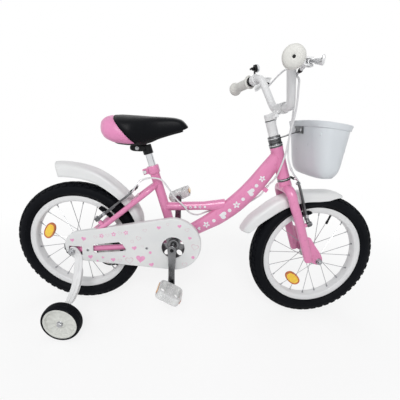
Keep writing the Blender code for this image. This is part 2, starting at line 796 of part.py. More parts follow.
def make_bottom_bracket():
    """The cartridge in the shell, with a lip outside each face and a bore for the spindle."""
    bore = SPINDLE_RADIUS + 2.0 * CLEARANCE
    half = [
        (SHELL_BORE - CLEARANCE, SHELL_HALF_WIDTH + CLEARANCE),
        (SHELL_RADIUS - 0.001, SHELL_HALF_WIDTH + CLEARANCE),
        (SHELL_RADIUS - 0.001, SHELL_HALF_WIDTH + 0.0025),
        (bore, SHELL_HALF_WIDTH + 0.0025),
    ]
    shape = revolved(CRANK_CENTRE, SIDEWAYS, both_sides(half[::-1]), 16, loop=True)
    return carry(build("bottom_bracket", shape), STEEL)


# Fenders

REAR_FENDER = ((4.0, 0.2165), (20.0, 0.2186), (27.0, 0.2269), (40.0, 0.2335), (56.0, 0.240),
               (74.0, 0.252), (90.0, 0.260), (102.0, 0.267))
REAR_FENDER_SKIRT = ((4.0, 0.014), (20.0, 0.020), (56.0, 0.030), (90.0, 0.041), (102.0, 0.044))
FRONT_FENDER = ((72.0, 0.2090), (76.0, 0.2132), (82.0, 0.2142), (92.0, 0.2122), (107.0, 0.2192),
                (127.0, 0.2304), (140.0, 0.2374), (152.0, 0.2488), (160.75, 0.2534))
FRONT_FENDER_SKIRT = ((72.0, 0.006), (76.0, 0.014), (80.0, 0.022), (84.0, 0.029), (92.0, 0.031),
                      (127.0, 0.035), (150.0, 0.031), (157.0, 0.027), (160.75, 0.020))
UPPER_BRIDGE_ANGLE = climb_of(REAR_AXLE, STAY_TOP) + 1.0
LOWER_BRIDGE_ANGLE = 5.0


def bridge_at(degrees):
    """The middle of a bridge that the rear fender rests on from inside."""
    gap = FENDER_BRIDGE_RADIUS + CLEARANCE
    return around(REAR_AXLE, between(REAR_FENDER, degrees) + gap, degrees)


REAR_PAD_ALONG = math.sqrt(PAD_RADIUS**2 - REAR_BRAKE_SETBACK**2)
REAR_BRAKE_ALONG = REAR_PAD_ALONG - PIVOT_TO_PAD
FRONT_PAD_ALONG = -FORK_LENGTH + math.sqrt(PAD_RADIUS**2 - (FRONT_BRAKE_SETBACK - FORK_OFFSET) ** 2)
FRONT_BRAKE_ALONG = FRONT_PAD_ALONG - PIVOT_TO_PAD
DOWN_TUBE_RUN = turned_up(DOWN_TUBE_UPPER_ANGLE)
CABLE_STOP_DROP = 0.0325
CABLE_STOP_HALF_LENGTH = 0.006
CABLE_STOP = DOWN_TUBE_START - DOWN_TUBE_RUN * 0.100
CABLE_STOP += turned_up(DOWN_TUBE_UPPER_ANGLE - 90.0) * CABLE_STOP_DROP


def make_fender(name, axle, radii, skirts, steps, pivot=None):
    """An arched guard over a wheel, from angles about its axle with outer radius and skirt depth."""
    arch = ((1.0, 1.0), (0.97, 0.55), (0.85, 0.22), (0.50, 0.05), (0.0, 0.0))
    first = radii[0][0]
    last = radii[-1][0]
    rings = []
    for k in range(steps + 1):
        degrees = first + (last - first) * k / steps
        radius = between(radii, degrees)
        skirt = between(skirts, degrees)
        outer = [(share * FENDER_HALF_WIDTH, radius - drop * skirt) for share, drop in arch]
        inner = []
        for share, drop in arch:
            lift = FENDER_WALL if drop < 1.0 else 0.0
            inner.append((share * (FENDER_HALF_WIDTH - FENDER_WALL), radius - drop * skirt - lift))
        section = outer + [(-side, level) for side, level in outer[-2::-1]]
        section += [(-side, level) for side, level in inner] + inner[-2::-1]
        rings.append([around(axle, level, degrees, side) for side, level in section])
    return carry(build(name, lofted(rings)), WHITE_PLASTIC, pivot)


# Chain drive


def outward_of(outline, side):
    """The outline in the plane this far out on the chain side."""
    return [point - SIDEWAYS * side for point in outline]


def make_guard():
    """A tray over the chain, with a wall all round, a window, a slot, a round hole and a notch for a stay."""
    steps = 11
    outer = belt(GUARD_REAR, GUARD_REAR_RADIUS, GUARD_FRONT, GUARD_FRONT_RADIUS, steps)
    edge = belt(GUARD_REAR, GUARD_REAR_RADIUS - 0.002, GUARD_FRONT, GUARD_FRONT_RADIUS - 0.002, steps)
    rear_inner = GUARD_REAR_RADIUS - GUARD_WALL
    inner = belt(GUARD_REAR, rear_inner, GUARD_FRONT, GUARD_FRONT_RADIUS - GUARD_WALL, steps)
    rings = [
        outward_of(inner, GUARD_SIDE - GUARD_WALL),
        outward_of(inner, GUARD_SIDE - GUARD_DEPTH),
        outward_of(outer, GUARD_SIDE - GUARD_DEPTH),
        outward_of(outer, GUARD_SIDE - 0.0015),
        outward_of(edge, GUARD_SIDE),
    ]
    reach = SIDEWAYS * 0.02
    middle = -SIDEWAYS * GUARD_SIDE
    window = block(REAR_AXLE + Vector((0.0098, 0.0, 0.0007)) + middle, AHEAD * 0.0202, reach, UP * 0.0148)
    slot_corners = [
        REAR_AXLE + Vector((0.064, 0.0, -0.0045)),
        REAR_AXLE + Vector((0.064, 0.0, 0.0240)),
        REAR_AXLE + Vector((0.132, 0.0, 0.0350)),
        REAR_AXLE + Vector((0.150, 0.0, 0.0380)),
        REAR_AXLE + Vector((0.165, 0.0, 0.0130)),
        REAR_AXLE + Vector((0.160, 0.0, 0.0080)),
    ]
    slot = prism([corner + middle - reach for corner in slot_corners], reach * 2.0)
    hole = rod(GUARD_FRONT + Vector((0.0, 0.0, -0.009)) + middle - reach,
               GUARD_FRONT + Vector((0.0, 0.0, -0.009)) + middle + reach, 0.035, 24)
    notch = block(on_stay(0.118, 0.0, -0.0560), STAY_AXIS * 0.032, SIDEWAYS * 0.0068,
                  STAY_BACK * (SEAT_STAY_RADIUS + 0.0012))
    return carry(fused("chain_guard", [lofted(rings)], [window, slot, hole, notch]), WHITE_PLASTIC)


def make_chain():
    middle = CHAIN_HALF_HEIGHT
    rings = []
    outer = belt(REAR_AXLE, SPROCKET_RADIUS + middle, CRANK_CENTRE, CHAINRING_RADIUS + middle, 11)
    inner = belt(REAR_AXLE, SPROCKET_RADIUS - middle, CRANK_CENTRE, CHAINRING_RADIUS - middle, 11)
    for out, inn in zip(outer, inner):
        near = SIDEWAYS * (CHAIN_SIDE + CHAIN_HALF_WIDTH)
        far = SIDEWAYS * (CHAIN_SIDE - CHAIN_HALF_WIDTH)
        rings.append([out - near, out - far, inn - far, inn - near])
    return carry(build("chain", lofted(rings, loop=True)), DARK_STEEL)


def make_sprocket():
    bore = HUB_SEAT_RADIUS + CLEARANCE
    tip = SPROCKET_RADIUS - CHAIN_HALF_HEIGHT - 2.0 * CLEARANCE
    profile = [
        (bore, CHAIN_SIDE - 0.0035),
        (bore, CHAIN_SIDE + 0.0035),
        (tip - 0.005, CHAIN_SIDE + 0.0035),
        (tip - 0.005, CHAIN_SIDE + 0.0012),
        (tip, CHAIN_SIDE + 0.0012),
        (tip, CHAIN_SIDE - 0.0012),
        (tip - 0.005, CHAIN_SIDE - 0.0012),
        (tip - 0.005, CHAIN_SIDE - 0.0035),
    ]
    shape = revolved(REAR_AXLE, -SIDEWAYS, profile, 20, loop=True)
    return carry(build("rear_sprocket", shape), DARK_STEEL, "rear_sprocket_pivot")


def make_chainring():
    bore = SPINDLE_RADIUS + CLEARANCE
    tip = CHAINRING_RADIUS - CHAIN_HALF_HEIGHT - 2.0 * CLEARANCE
    profile = [
        (bore, CHAIN_SIDE - 0.0015),
        (bore, CHAIN_SIDE + 0.0060),
        (0.018, CHAIN_SIDE + 0.0060),
        (0.018, CHAIN_SIDE + 0.0015),
        (tip, CHAIN_SIDE + 0.0015),
        (tip, CHAIN_SIDE - 0.0015),
    ]
    cuts = []
    for k in range(5):
        centre = around(CRANK_CENTRE, 0.0325, 18.0 + 72.0 * k)
        cuts.append(rod(centre - SIDEWAYS * 0.06, centre - SIDEWAYS * 0.03, 0.0095, 8))
    shape = revolved(CRANK_CENTRE, -SIDEWAYS, profile, 24, loop=True)
    return carry(fused("chainring", [shape], cuts), DARK_STEEL, "crank_pivot")


def make_crank():
    """The spindle, both arms and the two pedal axles. The right arm points down at rest."""
    spindle = SIDEWAYS * (CRANK_SIDE + 0.004)
    shapes = [rod(CRANK_CENTRE - spindle, CRANK_CENTRE + spindle,
                  SPINDLE_RADIUS, 14)]
    for side, down in ((-1.0, -1.0), (1.0, 1.0)):
        inner = SIDEWAYS * side * CRANK_SIDE
        outer = SIDEWAYS * side * (CRANK_SIDE + CRANK_THICKNESS)
        axle = CRANK_CENTRE + UP * down * CRANK_LENGTH
        first = 90.0 - 90.0 * down
        outline = []
        for centre, radius, start in ((CRANK_CENTRE, 0.0135, first + 180.0), (axle, 0.0105, first)):
            for k in range(7):
                outline.append(around(centre, radius, start + 30.0 * k))
        shapes.append(prism([point + inner for point in outline], outer - inner))
        stub = axle + SIDEWAYS * side * (CRANK_SIDE + 0.002)
        shapes.append(rod(stub, axle + SIDEWAYS * side * (PEDAL_SIDE - 0.003), 0.0085, 10))
        axle_end = axle + SIDEWAYS * side * (PEDAL_SIDE + PEDAL_WIDTH - 0.010)
        shapes.append(rod(stub, axle_end, PEDAL_AXLE_RADIUS, 10))
    return carry(fused("crank", shapes), STEEL, "crank_pivot")


def make_pedal(name, axle, side, pivot):
    """A pedal block with two openings beside the tube that its axle runs in."""
    middle = axle + SIDEWAYS * side * (PEDAL_SIDE + PEDAL_WIDTH / 2.0)
    rings = []
    for level, inset in ((-1.0, 0.003), (-0.8, 0.0), (0.8, 0.0), (1.0, 0.003)):
        centre = middle + UP * PEDAL_HEIGHT / 2.0 * level
        half_x = AHEAD * (PEDAL_LENGTH / 2.0 - inset)
        half_y = SIDEWAYS * (PEDAL_WIDTH / 2.0 - inset)
        rings.append(oval(centre, half_x, half_y, 12, 5.0))
    sides = 10
    bore = (PEDAL_AXLE_RADIUS + CLEARANCE) / math.cos(math.pi / sides)
    inner = axle + SIDEWAYS * side * (PEDAL_SIDE - 0.01)
    cuts = [rod(inner, axle + SIDEWAYS * side * (PEDAL_SIDE + PEDAL_WIDTH - 0.009), bore, sides)]
    for end in (-1.0, 1.0):
        centre = middle + AHEAD * end * PEDAL_LENGTH * 0.29
        cuts.append(block(centre, AHEAD * PEDAL_LENGTH * 0.105, SIDEWAYS * PEDAL_WIDTH * 0.35, UP * 0.03))
    return carry(fused(name, [lofted(rings)], cuts), WHITE_PLASTIC, pivot)


# Seat

# Distance ahead of the post's top, height of the top and of the lower edge above it, half width
SADDLE_STATIONS = (
    (-0.1205, 0.063, 0.046, 0.028),
    (-0.1125, 0.075, 0.033, 0.052),
    (-0.0950, 0.083, 0.022, 0.072),
    (-0.0660, 0.086, 0.014, 0.080),
    (-0.0340, 0.086, 0.0125, 0.077),
    (-0.0060, 0.0855, 0.0135, 0.062),
    (0.0160, 0.085, 0.0190, 0.046),
    (0.0400, 0.085, 0.0300, 0.035),
    (0.0740, 0.0845, 0.0420, 0.027),
    (0.1000, 0.080, 0.0500, 0.023),
    (0.1130, 0.070, 0.0545, 0.016),
    (0.1185, 0.063, 0.0575, 0.008),
)
SADDLE_SECTION = (
    (0.80, 0.0),
    (0.94, 0.13),
    (1.0, 0.33),
    (0.97, 0.57),
    (0.86, 0.79),
    (0.62, 0.93),
    (0.31, 0.99),
    (0.0, 1.0),
)
SEAM_TOP = POST_TOP + Vector((-0.080, 0.0, 0.083))
SEAM_FOOT = POST_TOP + Vector((-0.020, 0.0, 0.015))
SADDLE_BASE_THICKNESS = 0.005
CLAMP_TOP_DROP = SADDLE_BASE_THICKNESS + 2.0 * CLEARANCE


def saddle_shape():
    rings = []
    widest = max(station[3] for station in SADDLE_STATIONS)
    for ahead, top, low, half in SADDLE_STATIONS:
        half = half * SADDLE_HALF_WIDTH / widest
        right = [(-share * half, low + (top - low) * rise) for share, rise in SADDLE_SECTION]
        left = [(-side, level) for side, level in right[-2::-1]]
        section = right + left + [(0.0, low)]
        rings.append([POST_TOP + Vector((ahead, side, level)) for side, level in section])
    return lofted(rings)


def keep_one_side(made, point, normal):
    """Cuts the object along a plane and keeps what lies behind it, closed by a flat face."""
    work = bmesh.new()
    work.from_mesh(made.data)
    cut = bmesh.ops.bisect_plane(
        work,
        geom=work.verts[:] + work.edges[:] + work.faces[:],
        dist=1e-6,
        plane_co=point,
        plane_no=normal,
        clear_outer=True,
    )
    rim = [item for item in cut["geom_cut"] if isinstance(item, bmesh.types.BMEdge)]
    bmesh.ops.contextual_create(work, geom=rim)
    bmesh.ops.recalc_face_normals(work, faces=work.faces)
    work.to_mesh(made.data)
    work.free()


def make_saddle():
    """The padded cover in two pieces that meet at a sloping seam, the pan under them and its clamp."""
    seam = (SEAM_FOOT - SEAM_TOP).normalized()
    ahead_of_seam = Vector((-seam.z, 0.0, seam.x))
    cover = build("saddle_cover", saddle_shape())
    keep_one_side(cover, SEAM_TOP + ahead_of_seam * CLEARANCE, -ahead_of_seam)
    carry(cover, BLACK_COVER, "seatpost_pivot", 60.0)
    tail = build("saddle_tail", saddle_shape())
    keep_one_side(tail, SEAM_TOP, ahead_of_seam)
    carry(tail, PINK_COVER, "seatpost_pivot", 60.0)
    rings = []
    for ahead, top, low, half in SADDLE_STATIONS[2:-2]:
        level = low - CLEARANCE
        side = half * 0.70
        rings.append([POST_TOP + Vector((ahead, a * side, level - b * SADDLE_BASE_THICKNESS))
                      for a, b in ((-1.0, 0.0), (1.0, 0.0), (0.9, 1.0), (-0.9, 1.0))])
    carry(build("saddle_base", lofted(rings)), BLACK_PLASTIC, "seatpost_pivot")
    low = SADDLE_STATIONS[4][2] - CLAMP_TOP_DROP
    centre = POST_TOP + Vector((-0.0215, 0.0, low - 0.0100))
    body = []
    for side, share in ((-0.021, 0.85), (-0.018, 1.0), (0.018, 1.0), (0.021, 0.85)):
        body.append(oval(centre + SIDEWAYS * side, AHEAD * 0.0225 * share, UP * 0.0100 * share, 12, 3.0))
    sleeve = rod(POST_TOP - SEAT_AXIS * 0.022, POST_TOP + SEAT_AXIS * 0.0045, POST_RADIUS + 0.0034, 14)
    bore = rod(POST_TOP - SEAT_AXIS * 0.030, POST_TOP + SEAT_AXIS * CLEARANCE, POST_RADIUS + CLEARANCE, 14)
    carry(fused("saddle_clamp", [lofted(body), sleeve], [bore]), BLACK_PLASTIC, "seatpost_pivot")


def make_seatpost():
    post = rod(SEAT_TOP - SEAT_AXIS * POST_INSERTED, POST_TOP, POST_RADIUS, 14)
    return carry(build("seatpost", post), STEEL, "seatpost_pivot")


# Training wheels


def make_trainer(side, name):
    """One training wheel with its arm, which clamps on the rear axle, and its axle bolt."""
    top = REAR_AXLE + Vector((0.0035, side * (TRAINER_ARM_SIDE + TRAINER_ARM_THICKNESS / 2.0), 0.014))
    foot_side = TRAINER_ARM_FOOT - TRAINER_ARM_THICKNESS / 2.0
    corners = [
        top,
        Vector((0.0175, top.y, REAR_AXLE.z - 0.024)),
        Vector((0.0270, side * 0.118, REAR_AXLE.z - 0.082)),
        Vector((0.0190, side * (foot_side - 0.006), TRAINER_AXLE.z + 0.022)),
        Vector((TRAINER_AXLE.x, side * foot_side, TRAINER_AXLE.z + 0.010)),
        Vector((TRAINER_AXLE.x, side * foot_side, TRAINER_AXLE.z - 0.012)),
    ]
    thick = TRAINER_ARM_THICKNESS / 2.0
    rings = []
    for k, point in enumerate(corners):
        tangent = (corners[min(k + 1, len(corners) - 1)] - corners[max(k - 1, 0)]).normalized()
        if k in (0, len(corners) - 2, len(corners) - 1):
            tangent = -UP
        width = 1.0 if k < 3 else 0.85
        normal = tangent.cross(AHEAD).normalized() * thick
        ahead = AHEAD * TRAINER_ARM_WIDTH / 2.0 * width
        inner, outer = point + normal, point - normal
        rings.append([inner + ahead, inner - ahead, outer - ahead, outer + ahead])
    outward = SIDEWAYS * side
    cuts = [
        rod(REAR_AXLE + outward * 0.055, REAR_AXLE + outward * 0.085, AXLE_RADIUS + CLEARANCE, 8),
        rod(TRAINER_AXLE + outward * 0.15, TRAINER_AXLE + outward * 0.18, TRAINER_AXLE_RADIUS + CLEARANCE, 10),
    ]
    carry(fused("training_arm_" + name, [lofted(rings)], cuts), WHITE_PAINT)
    arm_in = TRAINER_ARM_FOOT - TRAINER_ARM_THICKNESS - CLEARANCE
    arm_out = TRAINER_ARM_FOOT + CLEARANCE
    wheel_in = TRAINER_SIDE - CLEARANCE
    wheel_out = TRAINER_SIDE + TRAINER_WIDTH - 0.004
    profile = [
        (0.0, arm_in - 0.007),
        (0.0075, arm_in - 0.007),
        (0.0075, arm_in),
        (TRAINER_AXLE_RADIUS, arm_in),
        (TRAINER_AXLE_RADIUS, arm_out),
        (0.0075, arm_out),
        (0.0065, wheel_in),
        (TRAINER_AXLE_RADIUS, wheel_in),
        (TRAINER_AXLE_RADIUS, wheel_out + CLEARANCE),
        (0.0075, wheel_out + CLEARANCE),
        (0.0075, wheel_out + 0.0060),
        (0.0, wheel_out + 0.0070),
    ]
    axle = revolved(TRAINER_AXLE, SIDEWAYS * side, profile, 10)
    carry(build("training_axle_" + name, axle), STEEL)
    flat = 1.0 / math.cos(math.pi / 24)
    middle_out = TRAINER_SIDE + TRAINER_WIDTH / 2.0
    half = TRAINER_WIDTH / 2.0
    seat = TRAINER_DISC_RADIUS + CLEARANCE
    tyre = [(seat, half), (TRAINER_RADIUS - 0.004, half), (TRAINER_RADIUS, half - 0.006)]
    profile = [(radius * flat, height) for radius, height in both_sides(tyre)]
    pivot = "training_wheel_" + name + "_pivot"
    ring = revolved(TRAINER_AXLE + SIDEWAYS * side * middle_out, SIDEWAYS * side, profile, 24, loop=True)
    carry(build("training_tyre_" + name, ring), BLACK_RUBBER, pivot)
    bore = TRAINER_AXLE_RADIUS + CLEARANCE
    disc = [
        (bore, -half),
        (0.013, -half),
        (0.015, -half + 0.006),
        (TRAINER_DISC_RADIUS - 0.008, -half + 0.006),
        (TRAINER_DISC_RADIUS, -half + 0.001),
        (TRAINER_DISC_RADIUS, half - 0.001),
        (TRAINER_DISC_RADIUS - 0.008, half - 0.005),
        (0.015, half - 0.006),
        (0.013, half - 0.004),
        (bore, half - 0.004),
    ]
    profile = [(radius * (flat if radius > 0.02 else 1.0), height) for radius, height in disc]
    ring = revolved(TRAINER_AXLE + SIDEWAYS * side * middle_out, SIDEWAYS * side, profile, 24, loop=True)
    carry(build("training_disc_" + name, ring), WHITE_PLASTIC, pivot)


# Steering


def front_fender_seat(gap):
    """A place this far above the front fender, right under the fork's crown."""
    degrees = 117.3
    return around(FRONT_AXLE, between(FRONT_FENDER, degrees) + gap, degrees)


def make_fork():
    """The steerer, and one bent tube that forms both blades and the crown, with a plate at each tip."""
    crown = -HEAD_LENGTH - 0.0225
    axle = -FORK_LENGTH
    knee = axle + 0.075
    shoulder = crown - 0.0475
    points = []
    for side in (-1.0, 1.0):
        blade = [
            on_steerer(axle + 0.0080, 0.0005, side * (BLADE_SIDE + 0.001)),
            on_steerer(axle + 0.0105, 0.0005, side * (BLADE_SIDE + 0.001)),
            on_steerer(knee, 0.0, side * BLADE_SIDE),
            on_steerer(knee + (shoulder - knee) * 0.567, -0.001, side * BLADE_SIDE),
            on_steerer(shoulder, -0.004, side * BLADE_SIDE),
        ]
        arc = []
        for k in range(1, 6):
            angle = math.radians(18.0 * k)
            spread = BLADE_SIDE - 0.022 * (1.0 - math.cos(angle))
            arc.append(on_steerer(crown - 0.025 * (1.0 - math.sin(angle)), -0.004, side * spread))
        points = blade + arc if side < 0.0 else points + (blade + arc)[::-1]
    foot = 0.0105
    depths = ((0.0, foot), (0.006, 0.0125), (0.35, BLADE_DEPTH / 2.0), (0.5, 0.0160),
              (0.65, BLADE_DEPTH / 2.0), (0.994, 0.0125), (1.0, foot))
    widths = ((0.0, 0.0085), (0.006, 0.0105), (0.15, BLADE_WIDTH / 2.0), (0.85, BLADE_WIDTH / 2.0),
              (0.994, 0.0105), (1.0, 0.0085))
    lengths = [0.0]
    for p, q in zip(points, points[1:]):
        lengths.append(lengths[-1] + (q - p).length)
    rings = []
    for k, point in enumerate(points):
        share = lengths[k] / lengths[-1]
        tangent = (points[min(k + 1, len(points) - 1)] - points[max(k - 1, 0)]).normalized()
        side = STEER_FRONT.cross(tangent).normalized()
        front = tangent.cross(side)
        rings.append(oval(point, front * between(depths, share), side * between(widths, share), 10))
    steerer = [
        (0.0, crown),
        (STEERER_RADIUS, crown),
        (STEERER_RADIUS, 0.031),
        (STEERER_BORE, 0.031),
        (STEERER_BORE, -0.062),
        (0.0, -0.062),
    ]
    shapes = [lofted(rings), revolved(on_steerer(0.0), STEER_AXIS, steerer, 14)]
    race = rod(on_steerer(crown), on_steerer(-HEAD_LENGTH - CLEARANCE), CUP_RADIUS - 0.001, 16)
    crown_gap = (on_steerer(crown) - front_fender_seat(0.0)).length
    fender_boss = rod(front_fender_seat(crown_gap - 0.002), front_fender_seat(2.5 * CLEARANCE), 0.0070, 8)
    shapes.extend([race, fender_boss])
    for side in (-1.0, 1.0):
        outline = [
            on_steerer(axle + 0.090, 0.000),
            on_steerer(axle + 0.088, 0.0195),
            on_steerer(axle + 0.050, 0.030),
            on_steerer(axle + 0.030, 0.0375),
            on_steerer(axle + 0.008, 0.0420),
            on_steerer(axle - 0.008, 0.0400),
            on_steerer(axle - 0.012, 0.0300),
            on_steerer(axle - 0.008, 0.0180),
            on_steerer(axle + 0.012, 0.000),
        ]
        plate = [point + SIDEWAYS * side * DROPOUT_SIDE for point in outline]
        shapes.append(prism(plate, SIDEWAYS * side * DROPOUT_THICKNESS))
        stud = on_steerer(FRONT_BRAKE_ALONG, 0.0, side * BRAKE_SIDE)
        shapes.extend(brake_stud(stud, STEER_FRONT, FRONT_BRAKE_SETBACK))
    cuts = [rod(FRONT_AXLE - SIDEWAYS * 0.08, FRONT_AXLE + SIDEWAYS * 0.08, AXLE_RADIUS + CLEARANCE, 8)]
    return carry(fused("fork", shapes, cuts), PINK_PAINT, "steering_pivot")


def make_headset_nut():
    """The cone and the lock nut, with a groove between them for the basket bracket's ring."""
    bore = STEERER_RADIUS + CLEARANCE
    low = 0.004 + CLEARANCE
    profile = [
        (bore, low),
        (0.0165, low),
        (0.0180, low + 0.0020),
        (0.0180, BRACKET_LEVEL - 0.0018),
        (0.0145, BRACKET_LEVEL - 0.0018),
        (0.0145, BRACKET_LEVEL + 0.0018),
        (0.0180, BRACKET_LEVEL + 0.0018),
        (0.0180, BRACKET_LEVEL + 0.0085),
        (0.0165, BRACKET_LEVEL + 0.0105),
        (bore, BRACKET_LEVEL + 0.0105),
    ]
    shape = revolved(on_steerer(0.0), STEER_AXIS, profile, 16, loop=True)
    return carry(build("headset_nut", shape), STEEL, "steering_pivot")


def make_stem():
    """A quill in the steerer, a column that flares forward at its top, and a clamp round the handlebar."""
    quill = rod(on_steerer(-0.055), on_steerer(0.036), STEERER_BORE - CLEARANCE, 14)
    rings = []
    for along, forward, half_front, half_side in (
        (0.0315, 0.0, STEM_RADIUS, STEM_RADIUS),
        (BAR_RISE - 0.0380, 0.0, STEM_RADIUS, STEM_RADIUS),
        (BAR_RISE - 0.0220, 0.002, 0.0155, 0.0140),
        (BAR_RISE - 0.0120, 0.0055, 0.0190, 0.0155),
        (BAR_RISE - 0.0060, 0.0070, 0.0205, 0.0165),
        (BAR_RISE - 0.0040, 0.0070, 0.0190, 0.0155),
    ):
        centre = on_steerer(along, forward)
        rings.append(oval(centre, STEER_FRONT * half_front, SIDEWAYS * half_side, 14, 2.4))
    middle = on_steerer(BAR_RISE, BAR_FORWARD)
    neck_path = [on_steerer(BAR_RISE - 0.0200, 0.006), on_steerer(BAR_RISE - 0.0095, 0.018),
                 middle - STEER_FRONT * 0.004]
    neck = swept(neck_path, steady(0.0165, 0.0080), 12, SIDEWAYS, 3.0)
    clamp = rod(middle - SIDEWAYS * 0.0205, middle + SIDEWAYS * 0.0205, BAR_RADIUS + 0.0045, 16)
    bore = rod(middle - SIDEWAYS * 0.03, middle + SIDEWAYS * 0.03, BAR_RADIUS + CLEARANCE, 16)
    return carry(fused("stem", [lofted(rings), neck, quill, clamp], [bore]), WHITE_PAINT, "steering_pivot")


def poly_tube(name, points, radius, resolution, material, pivot=None):
    """A round tube along points, as a curve with a bevel and closed ends."""
    curve = bpy.data.curves.new(name, "CURVE")
    curve.dimensions = "3D"
    curve.bevel_depth = radius
    curve.bevel_resolution = resolution
    curve.use_fill_caps = True
    spline = curve.splines.new("POLY")
    spline.points.add(len(points) - 1)
    for slot, point in zip(spline.points, points):
        slot.co = (*point, 1.0)
    curve.materials.append(material)
    made = bpy.data.objects.new(name, curve)
    bpy.context.scene.collection.objects.link(made)
    if pivot is not None:
        made.parent = PIVOTS[pivot]
        made.matrix_parent_inverse = HOMES[pivot].inverted()
    return made


def grip_point(along, side):
    """A place on the straight part of the handlebar that the grip is on."""
    return mirrored(GRIP_BEND + GRIP_DIRECTION * along, side)


def make_handlebar():
    middle = on_steerer(BAR_RISE, BAR_FORWARD)
    end = GRIP_START + GRIP_LENGTH + 0.001
    corner = middle + SIDEWAYS * BAR_CORNER_SIDE
    left = rounded([middle, corner, GRIP_BEND, grip_point(end, 1.0)], BAR_BEND_RADIUS, 5)
    path = [mirrored(point, -1.0) for point in left[:0:-1]] + left
    return poly_tube("handlebar", path, BAR_RADIUS, 4, WHITE_PAINT, "steering_pivot")


def make_grip(side, name):
    """A grip with a rounded flange at the thumb and a mushroom end, bored through for the bar."""
    bore = BAR_RADIUS + CLEARANCE
    length = GRIP_LENGTH
    profile = [
        (bore, 0.0),
        (GRIP_FLANGE - 0.0025, 0.0),
        (GRIP_FLANGE - 0.0010, 0.004),
        (GRIP_RADIUS + 0.0015, 0.012),
        (GRIP_RADIUS, 0.030),
        (GRIP_RADIUS, length - 0.030),
        (GRIP_RADIUS + 0.0035, length - 0.018),
        (GRIP_FLANGE, length - 0.009),
        (GRIP_FLANGE - 0.0015, length - 0.002),
        (GRIP_FLANGE - 0.0080, length + 0.0025),
        (bore, length + 0.0025),
    ]
    axis = mirrored(GRIP_DIRECTION, side)
    shape = revolved(grip_point(GRIP_START, side), axis, profile, 16, loop=True)
    return carry(build("grip_" + name, shape), PALE_GRIP, "steering_pivot")


def make_lever_mount(side, name):
    """The lever's clamp on the bar, its body with a slot and pin for the lever, and the cable barrel."""
    axis = mirrored(GRIP_DIRECTION, side)
    start = grip_point(LEVER_CLAMP_START, side)
    ring_end = start + axis * LEVER_CLAMP_LENGTH
    middle = start.lerp(ring_end, 0.5)
    pivot = mirrored(LEVER_PIVOT, side)
    ring = rod(start, ring_end, BAR_RADIUS + 0.0055, 14)
    arm = swept([middle + AHEAD * 0.0125 + UP * 0.002, pivot - AHEAD * 0.0165, pivot + AHEAD * 0.009],
                steady(0.0085, 0.0100), 8, SIDEWAYS, 4.0)
    boss_middle = pivot + Vector((-0.0052, -side * 0.0112, -0.0027))
    boss = block(boss_middle, AHEAD * 0.0063, SIDEWAYS * 0.0061, UP * 0.0058)
    barrel = rod(barrel_start(side), barrel_end(side), 0.0045, 10)
    bore = rod(start - axis * 0.01, ring_end + axis * 0.01, BAR_RADIUS + CLEARANCE, 14)
    slot_half = LEVER_THICKNESS / 2.0 + CLEARANCE
    slot_middle = pivot + Vector((0.0080, side * 0.0215, 0.0))
    slot = block(slot_middle, AHEAD * 0.0190, SIDEWAYS * 0.030, UP * slot_half)
    pin = rod(pivot - UP * 0.008, pivot + UP * 0.008, 0.0028, 10)
    made = fused("lever_mount_" + name, [ring, arm, boss, barrel], [bore, slot])
    combine(made, pin, "UNION")
    return carry(made, WHITE_PAINT, "steering_pivot")


def barrel_start(side):
    return mirrored(LEVER_PIVOT + Vector((-0.0050, -0.0105, -0.0070)), side)


def barrel_end(side):
    """The end of the lever's cable barrel, where the brake cable leaves it."""
    return mirrored(LEVER_PIVOT + Vector((-0.0078, -0.0290, -0.0160)), side)


def make_lever(side, name):
    pivot = mirrored(LEVER_PIVOT, side)
    offsets = ((0.0, 0.0, 0.0), (0.0010, 0.012, 0.0), (0.0010, 0.026, -0.002),
               (-0.0045, 0.058, -0.0075), (-0.0130, 0.090, -0.0150))
    path = [mirrored(LEVER_PIVOT + Vector(offset), side) for offset in offsets]
    heights = ((0.0, LEVER_THICKNESS / 2.0), (0.26, LEVER_THICKNESS / 2.0), (0.45, 0.0085), (1.0, 0.0105))

    def halves(share):
        return between(heights, share), 0.0042

    hub = rod(pivot - UP * LEVER_THICKNESS / 2.0, pivot + UP * LEVER_THICKNESS / 2.0, 0.0078, 12)
    bore = rod(pivot - UP * 0.02, pivot + UP * 0.02, 0.0028 + CLEARANCE, 10)
    made = fused("brake_lever_" + name, [swept(path, halves, 8, UP, 3.0), hub], [bore])
    return carry(made, STEEL, "brake_lever_" + name + "_pivot")


BELL_CLAMP_START = 0.0462
BELL_CLAMP_LENGTH = 0.0060
BELL_CENTRE = HEAD_TOP + Vector((-0.0360, 0.1340, 0.2235))
BELL_AXIS = Vector((0.96, 0.0, 0.28)).normalized()
BELL_RADIUS = 0.0130


